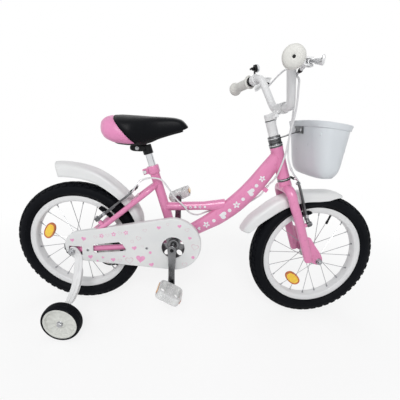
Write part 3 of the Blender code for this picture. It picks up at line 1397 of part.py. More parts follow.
def make_bell():
    """A small bell beside the left grip: a band with a post and a seat disc, the dome, and a thumb lever."""
    start = grip_point(BELL_CLAMP_START, 1.0)
    end = start + GRIP_DIRECTION * BELL_CLAMP_LENGTH
    band = rod(start, end, BAR_RADIUS + 0.004, 14)
    slant = (AHEAD * 0.62 + UP * 0.78).cross(GRIP_DIRECTION).normalized()
    rise = GRIP_DIRECTION.cross(slant)
    foot = start.lerp(end, 0.5)
    knee = foot + rise * 0.0215
    seat = BELL_CENTRE - BELL_AXIS * 0.004
    post_foot = rod(foot + rise * (BAR_RADIUS + 0.0015), knee, 0.0030, 8)
    post = rod(knee - rise * 0.002, seat - BELL_AXIS * 0.001 + Vector((0.0, 0.0050, -0.0075)), 0.0029, 8)
    disc = rod(seat - BELL_AXIS * 0.005, seat + BELL_AXIS * 0.002, BELL_RADIUS - 0.002, 14)
    pin = rod(seat - BELL_AXIS * 0.014, seat, 0.0022, 8)
    bore = rod(start - GRIP_DIRECTION * 0.01, end + GRIP_DIRECTION * 0.01, BAR_RADIUS + CLEARANCE, 14)
    carry(fused("bell_base", [band, post_foot, post, disc, pin], [bore]), BLACK_PLASTIC, "steering_pivot")
    profile = [
        (0.0, 0.0),
        (BELL_RADIUS, 0.0),
        (BELL_RADIUS, 0.0030),
        (BELL_RADIUS * 0.86, 0.0070),
        (BELL_RADIUS * 0.52, 0.0095),
        (0.0, 0.0105),
    ]
    dome = revolved(seat + BELL_AXIS * (0.002 + CLEARANCE), BELL_AXIS, profile, 16)
    carry(build("bell_dome", dome), STEEL, "steering_pivot")
    hub_start = seat - BELL_AXIS * 0.0108
    hub_end = seat - BELL_AXIS * (0.005 + CLEARANCE)
    hub = rod(hub_start, hub_end, 0.0052, 10)
    thumb = block(hub_start.lerp(hub_end, 0.5) + Vector((-0.004, 0.0095, 0.002)), BELL_AXIS * 0.0022,
                  SIDEWAYS * 0.0100, BELL_AXIS.cross(SIDEWAYS) * 0.0024)
    bore = rod(hub_start - BELL_AXIS * 0.01, hub_end + BELL_AXIS * 0.004, 0.0022 + CLEARANCE, 8)
    carry(fused("bell_lever", [hub, thumb], [bore]), BLACK_PLASTIC, "bell_lever_pivot")


def basket_level(height):
    """The basket's centre, the direction of its floor line and its half sizes at a share of its height."""
    taper = max(height - 0.02, 0.0)
    half_x = BASKET_FLOOR_HALF_LENGTH + (BASKET_TOP_HALF_LENGTH - BASKET_FLOOR_HALF_LENGTH) * taper
    half_y = BASKET_FLOOR_HALF_WIDTH + (BASKET_TOP_HALF_WIDTH - BASKET_FLOOR_HALF_WIDTH) * taper
    ahead = turned_up(BASKET_FLOOR_RISE).lerp(turned_up(-BASKET_RIM_LEAN), height).normalized()
    return BASKET_FLOOR.lerp(BASKET_RIM, height), ahead, half_x, half_y


def make_basket():
    """A tapered bowl with rounded corners, a deep round edge at its floor and a turned-out rim."""
    bowl = ((0.025, 0.79), (0.070, 0.885), (0.130, 0.955), (0.200, 0.99), (0.260, 1.0))
    outside = ((0.0, 0.66, 0.0),) + tuple((height, share, 0.0) for height, share in bowl)
    outside += ((0.900, 1.0, 0.0), (0.905, 1.0, 0.0030), (0.985, 1.0, BASKET_LIP), (1.0, 1.0, 0.0025))
    inside = tuple((height, share, -BASKET_WALL) for height, share in bowl[:0:-1])
    inside = ((1.0, 1.0, -BASKET_WALL),) + inside + ((0.040, 0.79, -BASKET_WALL),)
    rings = []
    for height, share, proud in outside + inside:
        centre, ahead, half_x, half_y = basket_level(height)
        side = SIDEWAYS * (half_y * (1.0 - (1.0 - share) * 0.62) + proud)
        rings.append(oval(centre, ahead * (half_x * share + proud), side, BASKET_SIDES, BASKET_SQUARENESS))
    return carry(build("basket", lofted(rings)), PEARL_PLASTIC, "steering_pivot")


def basket_back(height):
    """The middle of the bracket's plate, just behind the basket's back wall."""
    centre, ahead, half_x, _ = basket_level(height)
    flat = math.cos(math.pi / BASKET_SIDES) ** (2.0 / BASKET_SQUARENESS)
    return centre - ahead * (half_x * flat + BRACKET_THICKNESS / 2.0 + CLEARANCE)


def make_bracket():
    """A ring in the headset's groove, a bar forward from it, and a plate behind the basket."""
    half = BRACKET_THICKNESS / 2.0
    ring_low = on_steerer(BRACKET_LEVEL - half)
    ring_high = on_steerer(BRACKET_LEVEL + half)
    ring = rod(ring_low, ring_high, 0.0185, 16)
    bar_foot = basket_back(0.805)
    bar = swept([on_steerer(BRACKET_LEVEL, 0.016), on_steerer(BRACKET_LEVEL, 0.045), bar_foot],
                steady(0.0080, half), 4, SIDEWAYS, 2.0)
    plate = swept([basket_back(0.770), basket_back(0.895)], steady(0.0260, half), 4, SIDEWAYS, 2.0)
    bore = rod(ring_low - STEER_AXIS * 0.01, ring_high + STEER_AXIS * 0.01, 0.0145 + CLEARANCE, 16)
    return carry(fused("basket_bracket", [ring, bar, plate], [bore]), DARK_STEEL, "steering_pivot")


# Brakes


def brake_stud(centre, out, setback):
    """A stud on a stay or a fork blade that a brake arm turns on, with the head that keeps it there."""
    shank = rod(centre, centre + out * (setback + 0.0062), 0.0040, 10)
    head = rod(centre + out * (setback + 0.0058), centre + out * (setback + 0.0088), 0.0062, 10)
    return [shank, head]


def make_brake_arm(name, pivot, up, out, setback, axle, side):
    """An arm with its hub on the stud and the pad beside the rim. `up` runs along the stay or blade."""
    hub_middle = pivot + out * setback
    hub = rod(hub_middle - out * 0.0055, hub_middle + out * 0.0055, 0.0082, 12)
    route = ((0.0, 0.0), (0.0225, -0.0075), (0.045, -0.0080), (0.107, -0.0080), (PIVOT_TO_TOP, -0.0140))
    path = [hub_middle + up * along + SIDEWAYS * side * inward for along, inward in route]
    arm = swept(path, steady(0.0040, 0.0046), 8, out, 4.0)
    pad_middle = hub_middle + up * PIVOT_TO_PAD
    radial = Vector((pad_middle.x - axle.x, 0.0, pad_middle.z - axle.z)).normalized()
    tangent = SIDEWAYS.cross(radial)
    near = RIM_WIDTH / 2.0 + PAD_GAP
    far = BRAKE_SIDE - 0.0140
    level = Vector((pad_middle.x, side * (near + far) / 2.0, pad_middle.z))
    pad = block(level, tangent * 0.024, SIDEWAYS * (far - near) / 2.0, radial * 0.0050)
    pad_bolt = rod(pad_middle.lerp(level, 0.8), pad_middle + SIDEWAYS * side * -0.0060, 0.0045, 8)
    bore = rod(hub_middle - out * 0.02, hub_middle + out * 0.02, 0.0040 + CLEARANCE, 10)
    return carry(fused(name, [arm, pad_bolt, pad, hub], [bore]), DARK_STEEL, name + "_pivot")


# Cables

REAR_CABLE_ROUTE = (
    (0.5430, 0.0080, 0.3700),
    (0.5120, 0.0200, 0.3420),
    (0.4850, 0.0245, 0.3260),
    (0.4550, 0.0240, 0.3235),
    (0.4250, 0.0225, 0.3255),
    (0.4000, 0.0130, 0.3205),
    (0.3740, -0.0020, 0.3150),
    (0.3500, -0.0165, 0.3260),
    (0.3310, -0.0200, 0.3480),
    (0.3060, -0.0215, 0.3720),
    (0.2850, -0.0245, 0.4020),
    (0.2640, -0.0260, 0.4260),
    (0.2330, -0.0300, 0.4310),
    (0.2080, -0.0360, 0.4240),
    (0.1960, -0.0430, 0.4125),
)
# From the top of the head
FRONT_CABLE_ROUTE = (
    (-0.0020, 0.0890, 0.1740),
    (0.0060, 0.0620, 0.1900),
    (0.0145, 0.0280, 0.2025),
    (0.0160, -0.0060, 0.1935),
    (0.0205, -0.0270, 0.1675),
    (0.0250, -0.0330, 0.1325),
    (0.0270, -0.0330, 0.0925),
    (0.0255, -0.0340, 0.0525),
    (0.0240, -0.0330, 0.0075),
    (0.0275, -0.0380, -0.0375),
    (0.0405, -0.0450, -0.0725),
)
LOOP_ROUTE = (
    (0.0150, -0.0920, 0.1625),
    (0.0180, -0.0865, 0.1435),
    (0.0240, -0.0720, 0.1095),
    (0.0265, -0.0560, 0.0725),
    (0.0245, -0.0440, 0.0285),
    (0.0225, -0.0340, -0.0245),
    (0.0115, -0.0270, -0.0775),
    (0.0055, -0.0100, -0.1025),
)
CABLE_SPACING = 0.0140
CABLE_LIFT = 0.0018


def cable_start(side):
    """The cable's first stretch, straight out of the lever's cable barrel."""
    end = barrel_end(side)
    out = (end - barrel_start(side)).normalized()
    return [end + out * 4.0 * CLEARANCE, end + out * 0.011]


def brake_crossing(up, out, origin, setback, along):
    """The cable's last stretch, over the tops of both brake arms."""
    middle = origin + out * setback + up * along
    return [middle + SIDEWAYS * side for side in (-0.041, -0.028, 0.028, 0.040)]


def make_cables():
    top_gap = PIVOT_TO_TOP + CABLE_RADIUS + CABLE_LIFT
    stop_end = DOWN_TUBE_RUN * (CABLE_STOP_HALF_LENGTH + CLEARANCE)
    stop_run = DOWN_TUBE_RUN * 0.022
    rear_end = brake_crossing(STAY_AXIS, STAY_BACK, REAR_AXLE, REAR_BRAKE_SETBACK, REAR_BRAKE_ALONG + top_gap)
    rear = [CABLE_STOP - stop_end, CABLE_STOP - stop_run]
    rear += [Vector(point) for point in REAR_CABLE_ROUTE] + rear_end
    poly_tube("rear_brake_cable", smooth_curve(rear, CABLE_SPACING), CABLE_RADIUS, 2, WHITE_PLASTIC)
    front_along = FRONT_BRAKE_ALONG + top_gap
    front_end = brake_crossing(STEER_AXIS, STEER_FRONT, HEAD_TOP, FRONT_BRAKE_SETBACK, front_along)
    front = cable_start(1.0) + [HEAD_TOP + Vector(point) for point in FRONT_CABLE_ROUTE] + front_end
    poly_tube("front_brake_cable", smooth_curve(front, CABLE_SPACING), CABLE_RADIUS, 2, WHITE_PLASTIC,
              "steering_pivot")
    turn = Matrix.Rotation(math.radians(STEER_AT_REST), 4, STEER_AXIS)
    loop = [HEAD_TOP + turn @ (point - HEAD_TOP) for point in cable_start(-1.0)]
    loop += [HEAD_TOP + Vector(point) for point in LOOP_ROUTE]
    loop += [CABLE_STOP + stop_run, CABLE_STOP + stop_end]
    poly_tube("rear_cable_loop", smooth_curve(loop, CABLE_SPACING), CABLE_RADIUS, 2, WHITE_PLASTIC)


# The bicycle


def make_pivots():
    pivot_on("steering_pivot", HEAD_TOP, STEER_AXIS, turned=STEER_AT_REST)
    pivot_on("seatpost_pivot", SEAT_TOP, SEAT_AXIS)
    pivot_on("front_wheel_pivot", FRONT_AXLE, SIDEWAYS, "steering_pivot")
    pivot_on("rear_wheel_pivot", REAR_AXLE, SIDEWAYS)
    pivot_on("rear_sprocket_pivot", REAR_AXLE, SIDEWAYS)
    pivot_on("crank_pivot", CRANK_CENTRE, SIDEWAYS)
    right_pedal = CRANK_CENTRE - UP * CRANK_LENGTH
    left_pedal = CRANK_CENTRE + UP * CRANK_LENGTH
    pivot_on("pedal_right_pivot", right_pedal, SIDEWAYS, "crank_pivot", RIGHT_PEDAL_TILT)
    pivot_on("pedal_left_pivot", left_pedal, SIDEWAYS, "crank_pivot", -LEFT_PEDAL_TILT)
    for side, name in ((-1.0, "right"), (1.0, "left")):
        pivot_on("training_wheel_" + name + "_pivot", TRAINER_AXLE, SIDEWAYS)
        pivot_on("brake_lever_" + name + "_pivot", mirrored(LEVER_PIVOT, side), UP * side, "steering_pivot")
        front = on_steerer(FRONT_BRAKE_ALONG, 0.0, side * BRAKE_SIDE)
        rear = on_stay(REAR_BRAKE_ALONG, 0.0, side * BRAKE_SIDE)
        pivot_on("front_brake_arm_" + name + "_pivot", front, STEER_FRONT * -side, "steering_pivot")
        pivot_on("rear_brake_arm_" + name + "_pivot", rear, STAY_BACK * side)
    pivot_on("bell_lever_pivot", BELL_CENTRE, BELL_AXIS, "steering_pivot")


def make_bicycle():
    make_pivots()
    make_frame()
    make_seat_bolt()
    make_cups()
    make_bottom_bracket()
    make_fender("rear_fender", REAR_AXLE, REAR_FENDER, REAR_FENDER_SKIRT, 13)
    make_fender("front_fender", FRONT_AXLE, FRONT_FENDER, FRONT_FENDER_SKIRT, 15, "steering_pivot")
    make_guard()
    make_chain()
    make_sprocket()
    make_chainring()
    make_crank()
    make_pedal("pedal_right", CRANK_CENTRE - UP * CRANK_LENGTH, -1.0, "pedal_right_pivot")
    make_pedal("pedal_left", CRANK_CENTRE + UP * CRANK_LENGTH, 1.0, "pedal_left_pivot")
    make_seatpost()
    make_saddle()
    for name, axle, seat, phase in (
        ("front", FRONT_AXLE, FRONT_HUB_END_RADIUS, FRONT_SPOKE_PHASE),
        ("rear", REAR_AXLE, HUB_SEAT_RADIUS, REAR_SPOKE_PHASE),
    ):
        pivot = name + "_wheel_pivot"
        make_tyre(name + "_tyre", axle, pivot)
        make_rim(name + "_rim", axle, pivot)
        make_hub(name + "_hub", axle, seat, phase, pivot)
    make_reflector("front_reflector", FRONT_AXLE, 0.643, FRONT_SPOKE_PHASE, "front_wheel_pivot")
    make_reflector("rear_reflector", REAR_AXLE, 0.679, REAR_SPOKE_PHASE, "rear_wheel_pivot")
    cone_in = HUB_END + CLEARANCE
    cone_out = DROPOUT_SIDE - CLEARANCE
    nut_in = DROPOUT_SIDE + DROPOUT_THICKNESS + CLEARANCE
    arm_in = TRAINER_ARM_SIDE - CLEARANCE
    arm_out = TRAINER_ARM_SIDE + TRAINER_ARM_THICKNESS + CLEARANCE
    make_axle("front_axle", FRONT_AXLE, (
        (AXLE_RADIUS, cone_in), (0.0085, cone_out), (AXLE_RADIUS, nut_in), (0.0092, nut_in + 0.008),
        (AXLE_RADIUS - 0.0005, nut_in + 0.012)), "steering_pivot")
    make_axle("rear_axle", REAR_AXLE, (
        (AXLE_RADIUS, cone_in), (0.0085, cone_out), (AXLE_RADIUS, nut_in), (0.0092, arm_in),
        (AXLE_RADIUS, arm_out), (0.0092, arm_out + 0.008), (AXLE_RADIUS - 0.0005, arm_out + 0.012)))
    make_fork()
    make_headset_nut()
    make_stem()
    make_handlebar()
    make_basket()
    make_bracket()
    make_bell()
    for side, name in ((-1.0, "right"), (1.0, "left")):
        make_trainer(side, name)
        make_grip(side, name)
        make_lever_mount(side, name)
        make_lever(side, name)
        make_brake_arm("front_brake_arm_" + name, on_steerer(FRONT_BRAKE_ALONG, 0.0, side * BRAKE_SIDE),
                       STEER_AXIS, STEER_FRONT, FRONT_BRAKE_SETBACK, FRONT_AXLE, side)
        make_brake_arm("rear_brake_arm_" + name, on_stay(REAR_BRAKE_ALONG, 0.0, side * BRAKE_SIDE),
                       STAY_AXIS, STAY_BACK, REAR_BRAKE_SETBACK, REAR_AXLE, side)
    make_cables()


make_bicycle()
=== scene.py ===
"""The bicycle's visible pieces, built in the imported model's frame, with a plain studio round them."""

import math

import bmesh
import bpy
import numpy as np
from mathutils import Matrix, Vector
from mathutils.bvhtree import BVHTree


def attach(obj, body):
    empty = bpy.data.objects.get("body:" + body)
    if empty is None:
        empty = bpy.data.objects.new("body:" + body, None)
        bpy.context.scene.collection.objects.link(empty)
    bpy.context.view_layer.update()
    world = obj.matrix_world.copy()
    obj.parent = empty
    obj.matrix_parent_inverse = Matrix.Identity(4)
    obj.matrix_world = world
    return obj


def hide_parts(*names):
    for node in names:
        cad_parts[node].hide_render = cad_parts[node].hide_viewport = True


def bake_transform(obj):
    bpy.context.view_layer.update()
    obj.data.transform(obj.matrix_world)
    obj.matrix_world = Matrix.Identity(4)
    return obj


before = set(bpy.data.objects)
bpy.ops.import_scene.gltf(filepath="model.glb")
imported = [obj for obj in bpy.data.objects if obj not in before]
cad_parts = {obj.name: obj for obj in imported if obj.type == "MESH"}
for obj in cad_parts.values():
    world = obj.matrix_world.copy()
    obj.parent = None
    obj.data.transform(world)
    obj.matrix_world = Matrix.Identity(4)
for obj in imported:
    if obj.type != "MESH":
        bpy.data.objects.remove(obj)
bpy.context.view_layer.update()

X = Vector((1.0, 0.0, 0.0))
Y = Vector((0.0, 1.0, 0.0))
Z = Vector((0.0, 0.0, 1.0))


def flat(x, z):
    """A point or a way in the middle plane."""
    return Vector((x, 0.0, z))


def turned_up(degrees):
    angle = math.radians(degrees)
    return flat(math.cos(angle), math.sin(angle))


# The numbers that the solids are built from

REAR_AXLE = flat(0.0, 0.2)
FRONT_AXLE = flat(0.744, 0.2)
STEER_AXIS = turned_up(110.0)
STEER_FRONT = turned_up(20.0)
FORK_LENGTH = 0.375
HEAD_TOP = FRONT_AXLE - STEER_FRONT * 0.029 + STEER_AXIS * FORK_LENGTH
CRANK = flat(0.3055, 0.228)
SEAT_AXIS = turned_up(107.2)
SEAT_FRONT = turned_up(17.2)
SEAT_TOP = CRANK + SEAT_AXIS * 0.245
POST_TOP = SEAT_TOP + SEAT_AXIS * 0.058
STAY_TOP = SEAT_TOP - SEAT_AXIS * 0.055
STAY_AXIS = (STAY_TOP - REAR_AXLE).normalized()
STAY_BACK = flat(-STAY_AXIS.z, STAY_AXIS.x)
TRAINER = flat(0.02, 0.0545)
GRIP_BEND = HEAD_TOP + Vector((-0.027, 0.1135, 0.195))
GRIP_DIRECTION = Vector((-0.348, 0.923, -0.166)).normalized()
LEVER_PIVOT = HEAD_TOP + Vector((0.004, 0.137, 0.189))
BARREL_START = LEVER_PIVOT + Vector((-0.005, -0.0105, -0.007))
BARREL_END = LEVER_PIVOT + Vector((-0.0078, -0.029, -0.016))
CRANK_LENGTH = 0.114
PEDAL_SIDE = 0.127
TRAINER_SIDE = 0.199
SPOKES = 20
STUD_SIDE = 0.05
REAR_SETBACK = 0.028
FRONT_SETBACK = 0.026
BRAKE_CIRCLE = 0.1515
PAD_ALONG = 0.0245
REST_TURN = 8.2
TURN = (
    Matrix.Translation(HEAD_TOP)
    @ Matrix.Rotation(math.radians(REST_TURN), 4, STEER_AXIS)
    @ Matrix.Translation(-HEAD_TOP)
)
BAR = 0.0111


def on_steerer(along, forward=0.0, side=0.0):
    return HEAD_TOP + STEER_AXIS * along + STEER_FRONT * forward + Y * side


def on_stay(along, behind=0.0, side=0.0):
    return REAR_AXLE + STAY_AXIS * along + STAY_BACK * behind + Y * side


def around(centre, radius, degrees, side=0.0):
    return centre + turned_up(degrees) * radius + Y * side


def mirrored(point, side):
    return Vector((point.x, point.y * side, point.z))


# Surfaces


def node_of(tree, kind, inputs=None, **values):
    made = tree.nodes.new("ShaderNode" + kind)
    for key, value in values.items():
        setattr(made, key, value)
    for key, value in (inputs or {}).items():
        made.inputs[key].default_value = value
    return made


def linked(tree, *pairs):
    for source, target in pairs:
        tree.links.new(source, target)


def surface(name, dark, light, rough, metal=0.0, patch=9.0, grain=700.0, depth=0.0001, spread=0.05,
            cells=False, **sockets):
    """A finish whose colour and gloss drift in soft patches, with a fine grain in relief."""
    made = bpy.data.materials.new(name)
    made.use_nodes = True
    tree = made.node_tree
    shader = tree.nodes["Principled BSDF"]
    spot = node_of(tree, "TexCoord").outputs["Object"]
    soft = node_of(tree, "TexNoise", {"Scale": patch, "Detail": 5.0, "Roughness": 0.6})
    ramp = node_of(tree, "ValToRGB")
    for element, place, colour in zip(ramp.color_ramp.elements, (0.33, 0.67), (dark, light)):
        element.position = place
        element.color = (*colour, 1.0)
    worn = node_of(tree, "TexNoise", {"Scale": patch * 7.0, "Detail": 6.0})
    gloss = node_of(tree, "MapRange", {"From Min": 0.3, "From Max": 0.7, "To Min": max(rough - spread, 0.02),
                                       "To Max": rough + spread})
    if cells:
        fine = node_of(tree, "TexVoronoi", feature="DISTANCE_TO_EDGE")
    else:
        fine = node_of(tree, "TexNoise", {"Detail": 3.0})
    fine.inputs["Scale"].default_value = grain
    bump = node_of(tree, "Bump", {"Strength": 0.35, "Distance": depth})
    linked(tree, (spot, soft.inputs["Vector"]), (spot, worn.inputs["Vector"]), (spot, fine.inputs["Vector"]),
           (soft.outputs["Fac"], ramp.inputs["Fac"]), (ramp.outputs["Color"], shader.inputs["Base Color"]),
           (worn.outputs["Fac"], gloss.inputs["Value"]),
           (gloss.outputs["Result"], shader.inputs["Roughness"]),
           (fine.outputs["Distance" if cells else "Fac"], bump.inputs["Height"]),
           (bump.outputs["Normal"], shader.inputs["Normal"]))
    for key, value in {"Metallic": metal, **sockets}.items():
        shader.inputs[key.replace("_", " ")].default_value = value
    return made


def coated(weight, rough=0.08):
    return {"Coat_Weight": weight, "Coat_Roughness": rough}


PINK = surface("pink_enamel", (0.7, 0.215, 0.41), (0.76, 0.25, 0.46), 0.3, depth=0.00008, **coated(0.5))
WHITE = surface("white_enamel", (0.74, 0.745, 0.75), (0.8, 0.8, 0.8), 0.34, depth=0.00008, **coated(0.15))
PLASTIC = surface("white_moulding", (0.71, 0.72, 0.72), (0.77, 0.775, 0.77), 0.36, grain=1400.0,
                  depth=0.00005)
PEARL = surface("pearl_moulding", (0.6, 0.635, 0.665), (0.68, 0.71, 0.735), 0.32, patch=5.0, grain=1400.0,
                depth=0.00005, **coated(0.2, 0.15))
RUBBER = surface("tyre_rubber", (0.0015, 0.002, 0.0035), (0.004, 0.0048, 0.007), 0.62, grain=900.0,
                 depth=0.0002, Specular_IOR_Level=0.09)
VINYL = surface("black_vinyl", (0.0012, 0.0016, 0.0028), (0.0028, 0.0034, 0.0052), 0.42, grain=650.0,
                depth=0.0003, cells=True, Specular_IOR_Level=0.11)
PINK_VINYL = surface("pink_vinyl", (0.7, 0.23, 0.44), (0.79, 0.29, 0.52), 0.4, grain=650.0, depth=0.0003,
                     cells=True, Sheen_Weight=0.1)
BLACK = surface("black_moulding", (0.003, 0.0034, 0.0042), (0.007, 0.0075, 0.009), 0.38, grain=1200.0,
                Specular_IOR_Level=0.2)
CHROME = surface("bright_chrome", (0.62, 0.63, 0.65), (0.78, 0.79, 0.8), 0.12, 1.0, spread=0.04, grain=500.0,
                 depth=0.00002)
STEEL = surface("spoke_steel", (0.34, 0.345, 0.36), (0.5, 0.505, 0.52), 0.3, 1.0, grain=900.0, depth=0.00004)
DARK = surface("dark_steel", (0.08, 0.082, 0.086), (0.17, 0.172, 0.178), 0.32, 1.0, patch=30.0, grain=900.0)
CRANK_STEEL = surface("plated_steel", (0.16, 0.162, 0.168), (0.26, 0.262, 0.27), 0.24, 1.0, patch=20.0)
AMBER = surface("amber_edge", (0.42, 0.085, 0.004), (0.62, 0.15, 0.006), 0.2, patch=60.0, grain=420.0,
                depth=0.0006, cells=True, **coated(0.8))
YELLOW = surface("amber_lens", (0.9, 0.5, 0.006), (0.95, 0.66, 0.02), 0.18, patch=80.0, grain=420.0,
                 depth=0.0006, cells=True, **coated(0.8))
GRIP = surface("ivory_rubber", (0.66, 0.655, 0.62), (0.73, 0.725, 0.69), 0.55, grain=1100.0, depth=0.0002)
IVORY = surface("ivory_moulding", (0.6, 0.61, 0.57), (0.7, 0.71, 0.67), 0.4, patch=25.0, grain=1200.0)
CABLE = surface("white_sleeve", (0.68, 0.68, 0.69), (0.75, 0.75, 0.76), 0.38, grain=1500.0, depth=0.00004)
CLEAR = surface("clear_moulding", (0.84, 0.845, 0.84), (0.91, 0.915, 0.91), 0.25, patch=40.0, grain=900.0,
                Transmission_Weight=0.3, IOR=1.46)
ALLOY = surface("satin_alloy", (0.66, 0.665, 0.68), (0.78, 0.785, 0.79), 0.36, 1.0, patch=30.0, grain=900.0,
                depth=0.00004)
PRINT_PINK = surface("pink_ink", (0.76, 0.3, 0.52), (0.84, 0.38, 0.6), 0.4, patch=90.0, grain=2500.0)
PRINT_PALE = surface("pale_ink", (0.66, 0.52, 0.56), (0.72, 0.58, 0.62), 0.4, patch=90.0, grain=2500.0)
PRINT_WHITE = surface("white_ink", (0.78, 0.76, 0.79), (0.86, 0.85, 0.87), 0.34, patch=90.0, grain=2500.0)
PRINT_GREY = surface("grey_ink", (0.28, 0.24, 0.27), (0.36, 0.31, 0.34), 0.42, patch=90.0, grain=2500.0)
# Near-black painted shade: it stands for the shadow inside holes, screw slots and narrow gaps
HOLE = surface("deep_shadow", (0.004, 0.004, 0.004), (0.009, 0.009, 0.009), 0.8)


# Shapes, each a pair of points and faces


def axis_frame(origin, axis):
    along = axis.normalized()
    guide = X if abs(along.x) < 0.9 else Y
    across = (guide - along * guide.dot(along)).normalized()
    home = Matrix((across, along.cross(across), along)).transposed().to_4x4()
    home.translation = origin
    return home


def joined_rows(rows, loop):
    faces = []
    pairs = list(zip(rows, rows[1:]))
    if loop:
        pairs.append((rows[-1], rows[0]))
    for first, second in pairs:
        for k in range(len(first)):
            after = (k + 1) % len(first)
            face = list(dict.fromkeys([first[k], first[after], second[after], second[k]]))
            if len(face) > 2:
                faces.append(face)
    return faces


def revolved(origin, axis, profile, sides=48, loop=False):
    home = axis_frame(origin, axis)
    points, rows = [], []
    for radius, height in profile:
        if radius == 0.0:
            points.append(home @ flat(0.0, height))
            rows.append([len(points) - 1] * sides)
            continue
        rows.append(list(range(len(points), len(points) + sides)))
        for k in range(sides):
            angle = 2.0 * math.pi * (k + 0.5) / sides
            points.append(home @ Vector((radius * math.cos(angle), radius * math.sin(angle), height)))
    return points, joined_rows(rows, loop)


def rod(start, end, radius, sides=24, bevel=0.0):
    """A round bar. A bevel rounds both of its ends a little."""
    length = (end - start).length
    if bevel:
        profile = [(0.0, 0.0), (radius - bevel, 0.0), (radius, bevel), (radius, length - bevel),
                   (radius - bevel, length), (0.0, length)]
    else:
        profile = [(0.0, 0.0), (radius, 0.0), (radius, length), (0.0, length)]
    return revolved(start, end - start, profile, sides)


def span(origin, way, low, high):
    """Two stations on the line through the origin."""
    return origin + way * low, origin + way * high


def nut(start, end, radius, sides=6):
    return rod(start, end, radius, sides, min(0.0008, radius * 0.1))


def collar(origin, axis, inner, shoulder, outer, low, high, chamfer, sides):
    """A ring with chamfered outer edges."""
    return revolved(origin, axis,
                    [(inner, low), (shoulder, low), (outer, low + chamfer), (outer, high - chamfer),
                     (shoulder, high), (inner, high)], sides, loop=True)


def lofted(rings, loop=False):
    count = len(rings[0])
    points = [point for ring in rings for point in ring]
    rows = [list(range(k * count, (k + 1) * count)) for k in range(len(rings))]
    faces = joined_rows(rows, loop)
    if not loop:
        faces.append(rows[0])
        faces.append(rows[-1][::-1])
    return points, faces


def squared_off(value, power):
    return math.copysign(abs(value) ** power, value)


def oval(centre, first, second, sides=40, power=2.0):
    ring = []
    for k in range(sides):
        angle = 2.0 * math.pi * (k + 0.5) / sides
        c = squared_off(math.cos(angle), 2.0 / power)
        s = squared_off(math.sin(angle), 2.0 / power)
        ring.append(centre + first * c + second * s)
    return ring


def tangent_at(path, k):
    return (path[min(k + 1, len(path) - 1)] - path[max(k - 1, 0)]).normalized()


def swept(path, halves, sides=24, across=Y, power=2.0):
    """A tube along a path, with its half sizes across and up given for each of its points."""
    rings = []
    for k, point in enumerate(path):
        tangent = tangent_at(path, k)
        up = tangent.cross(across).normalized()
        half_across, half_up = halves[k] if isinstance(halves, list) else halves
        rings.append(oval(point, up.cross(tangent) * half_across, up * half_up, sides, power))
    return lofted(rings)


def tube(points, radius, sides=12, loop=False):
    """A round tube along points. The radius may be a function of the share of the way."""
    last = len(points) - 1
    rings, normal, before = [], None, None
    for k, point in enumerate(points):
        ahead = points[(k + 1) % len(points)] if loop else points[min(k + 1, last)]
        behind = points[k - 1] if loop else points[max(k - 1, 0)]
        tangent = (ahead - behind).normalized()
        normal = tangent.orthogonal() if normal is None else before.rotation_difference(tangent) @ normal
        normal = (normal - tangent * normal.dot(tangent)).normalized()
        before = tangent
        size = radius(k / last) if callable(radius) else radius
        rings.append(oval(point, normal * size, tangent.cross(normal) * size, sides))
    return lofted(rings, loop)


def prism(outline, depth):
    return lofted([outline, [point + depth for point in outline]])


def block(centre, half_x, half_y, half_z):
    corners = [centre + half_x * a + half_y * b - half_z for a, b in ((1, 1), (-1, 1), (-1, -1), (1, -1))]
    return prism(corners, half_z * 2.0)


def between(pairs, place):
    for (low, first), (high, second) in zip(pairs, pairs[1:]):
        if place <= high:
            return first + (second - first) * max((place - low) / (high - low), 0.0)
    return pairs[-1][1]


def eased(pairs):
    """A smooth curve through pairs of place and value that doesn't swing past them."""
    xs = np.array([p for p, _ in pairs], float)
    ys = np.array([v for _, v in pairs], float)
    step = np.diff(xs)
    slope = np.diff(ys) / step
    bend = np.zeros(len(xs))
    for k in range(1, len(xs) - 1):
        if slope[k - 1] * slope[k] > 0:
            a, b = 2 * step[k] + step[k - 1], step[k] + 2 * step[k - 1]
            bend[k] = (a + b) / (a / slope[k - 1] + b / slope[k])
    bend[0], bend[-1] = slope[0], slope[-1]

    def value(place):
        k = int(np.clip(np.searchsorted(xs, place) - 1, 0, len(step) - 1))
        t = min(max((place - xs[k]) / step[k], 0.0), 1.0)
        h = step[k]
        return float((2 * t**3 - 3 * t**2 + 1) * ys[k] + (t**3 - 2 * t**2 + t) * h * bend[k]
                     + (3 * t**2 - 2 * t**3) * ys[k + 1] + (t**3 - t**2) * h * bend[k + 1])

    return value


def rounded(corners, radius, steps=10):
    path = [corners[0]]
    for before, corner, after in zip(corners, corners[1:], corners[2:]):
        arrive, leave = (corner - before).normalized(), (after - corner).normalized()
        bend = arrive.angle(leave)
        reach = radius * math.tan(bend / 2.0)
        centre = corner + (leave - arrive).normalized() * (radius / math.cos(bend / 2.0))
        start = corner - arrive * reach - centre
        axis = arrive.cross(leave).normalized()
        for k in range(steps + 1):
            path.append(centre + Matrix.Rotation(bend * k / steps, 3, axis) @ start)
    path.append(corners[-1])
    return path


def spaced(points, spacing):
    """The same path in even steps."""
    total = sum((q - p).length for p, q in zip(points, points[1:]))
    count = max(round(total / spacing), 2)
    made, walked = [points[0]], 0.0
    for p, q in zip(points, points[1:]):
        step = (q - p).length
        while step > 0.0 and len(made) < count and walked + step >= total * len(made) / count:
            made.append(p.lerp(q, (total * len(made) / count - walked) / step))
        walked += step
    return made + [points[-1]]


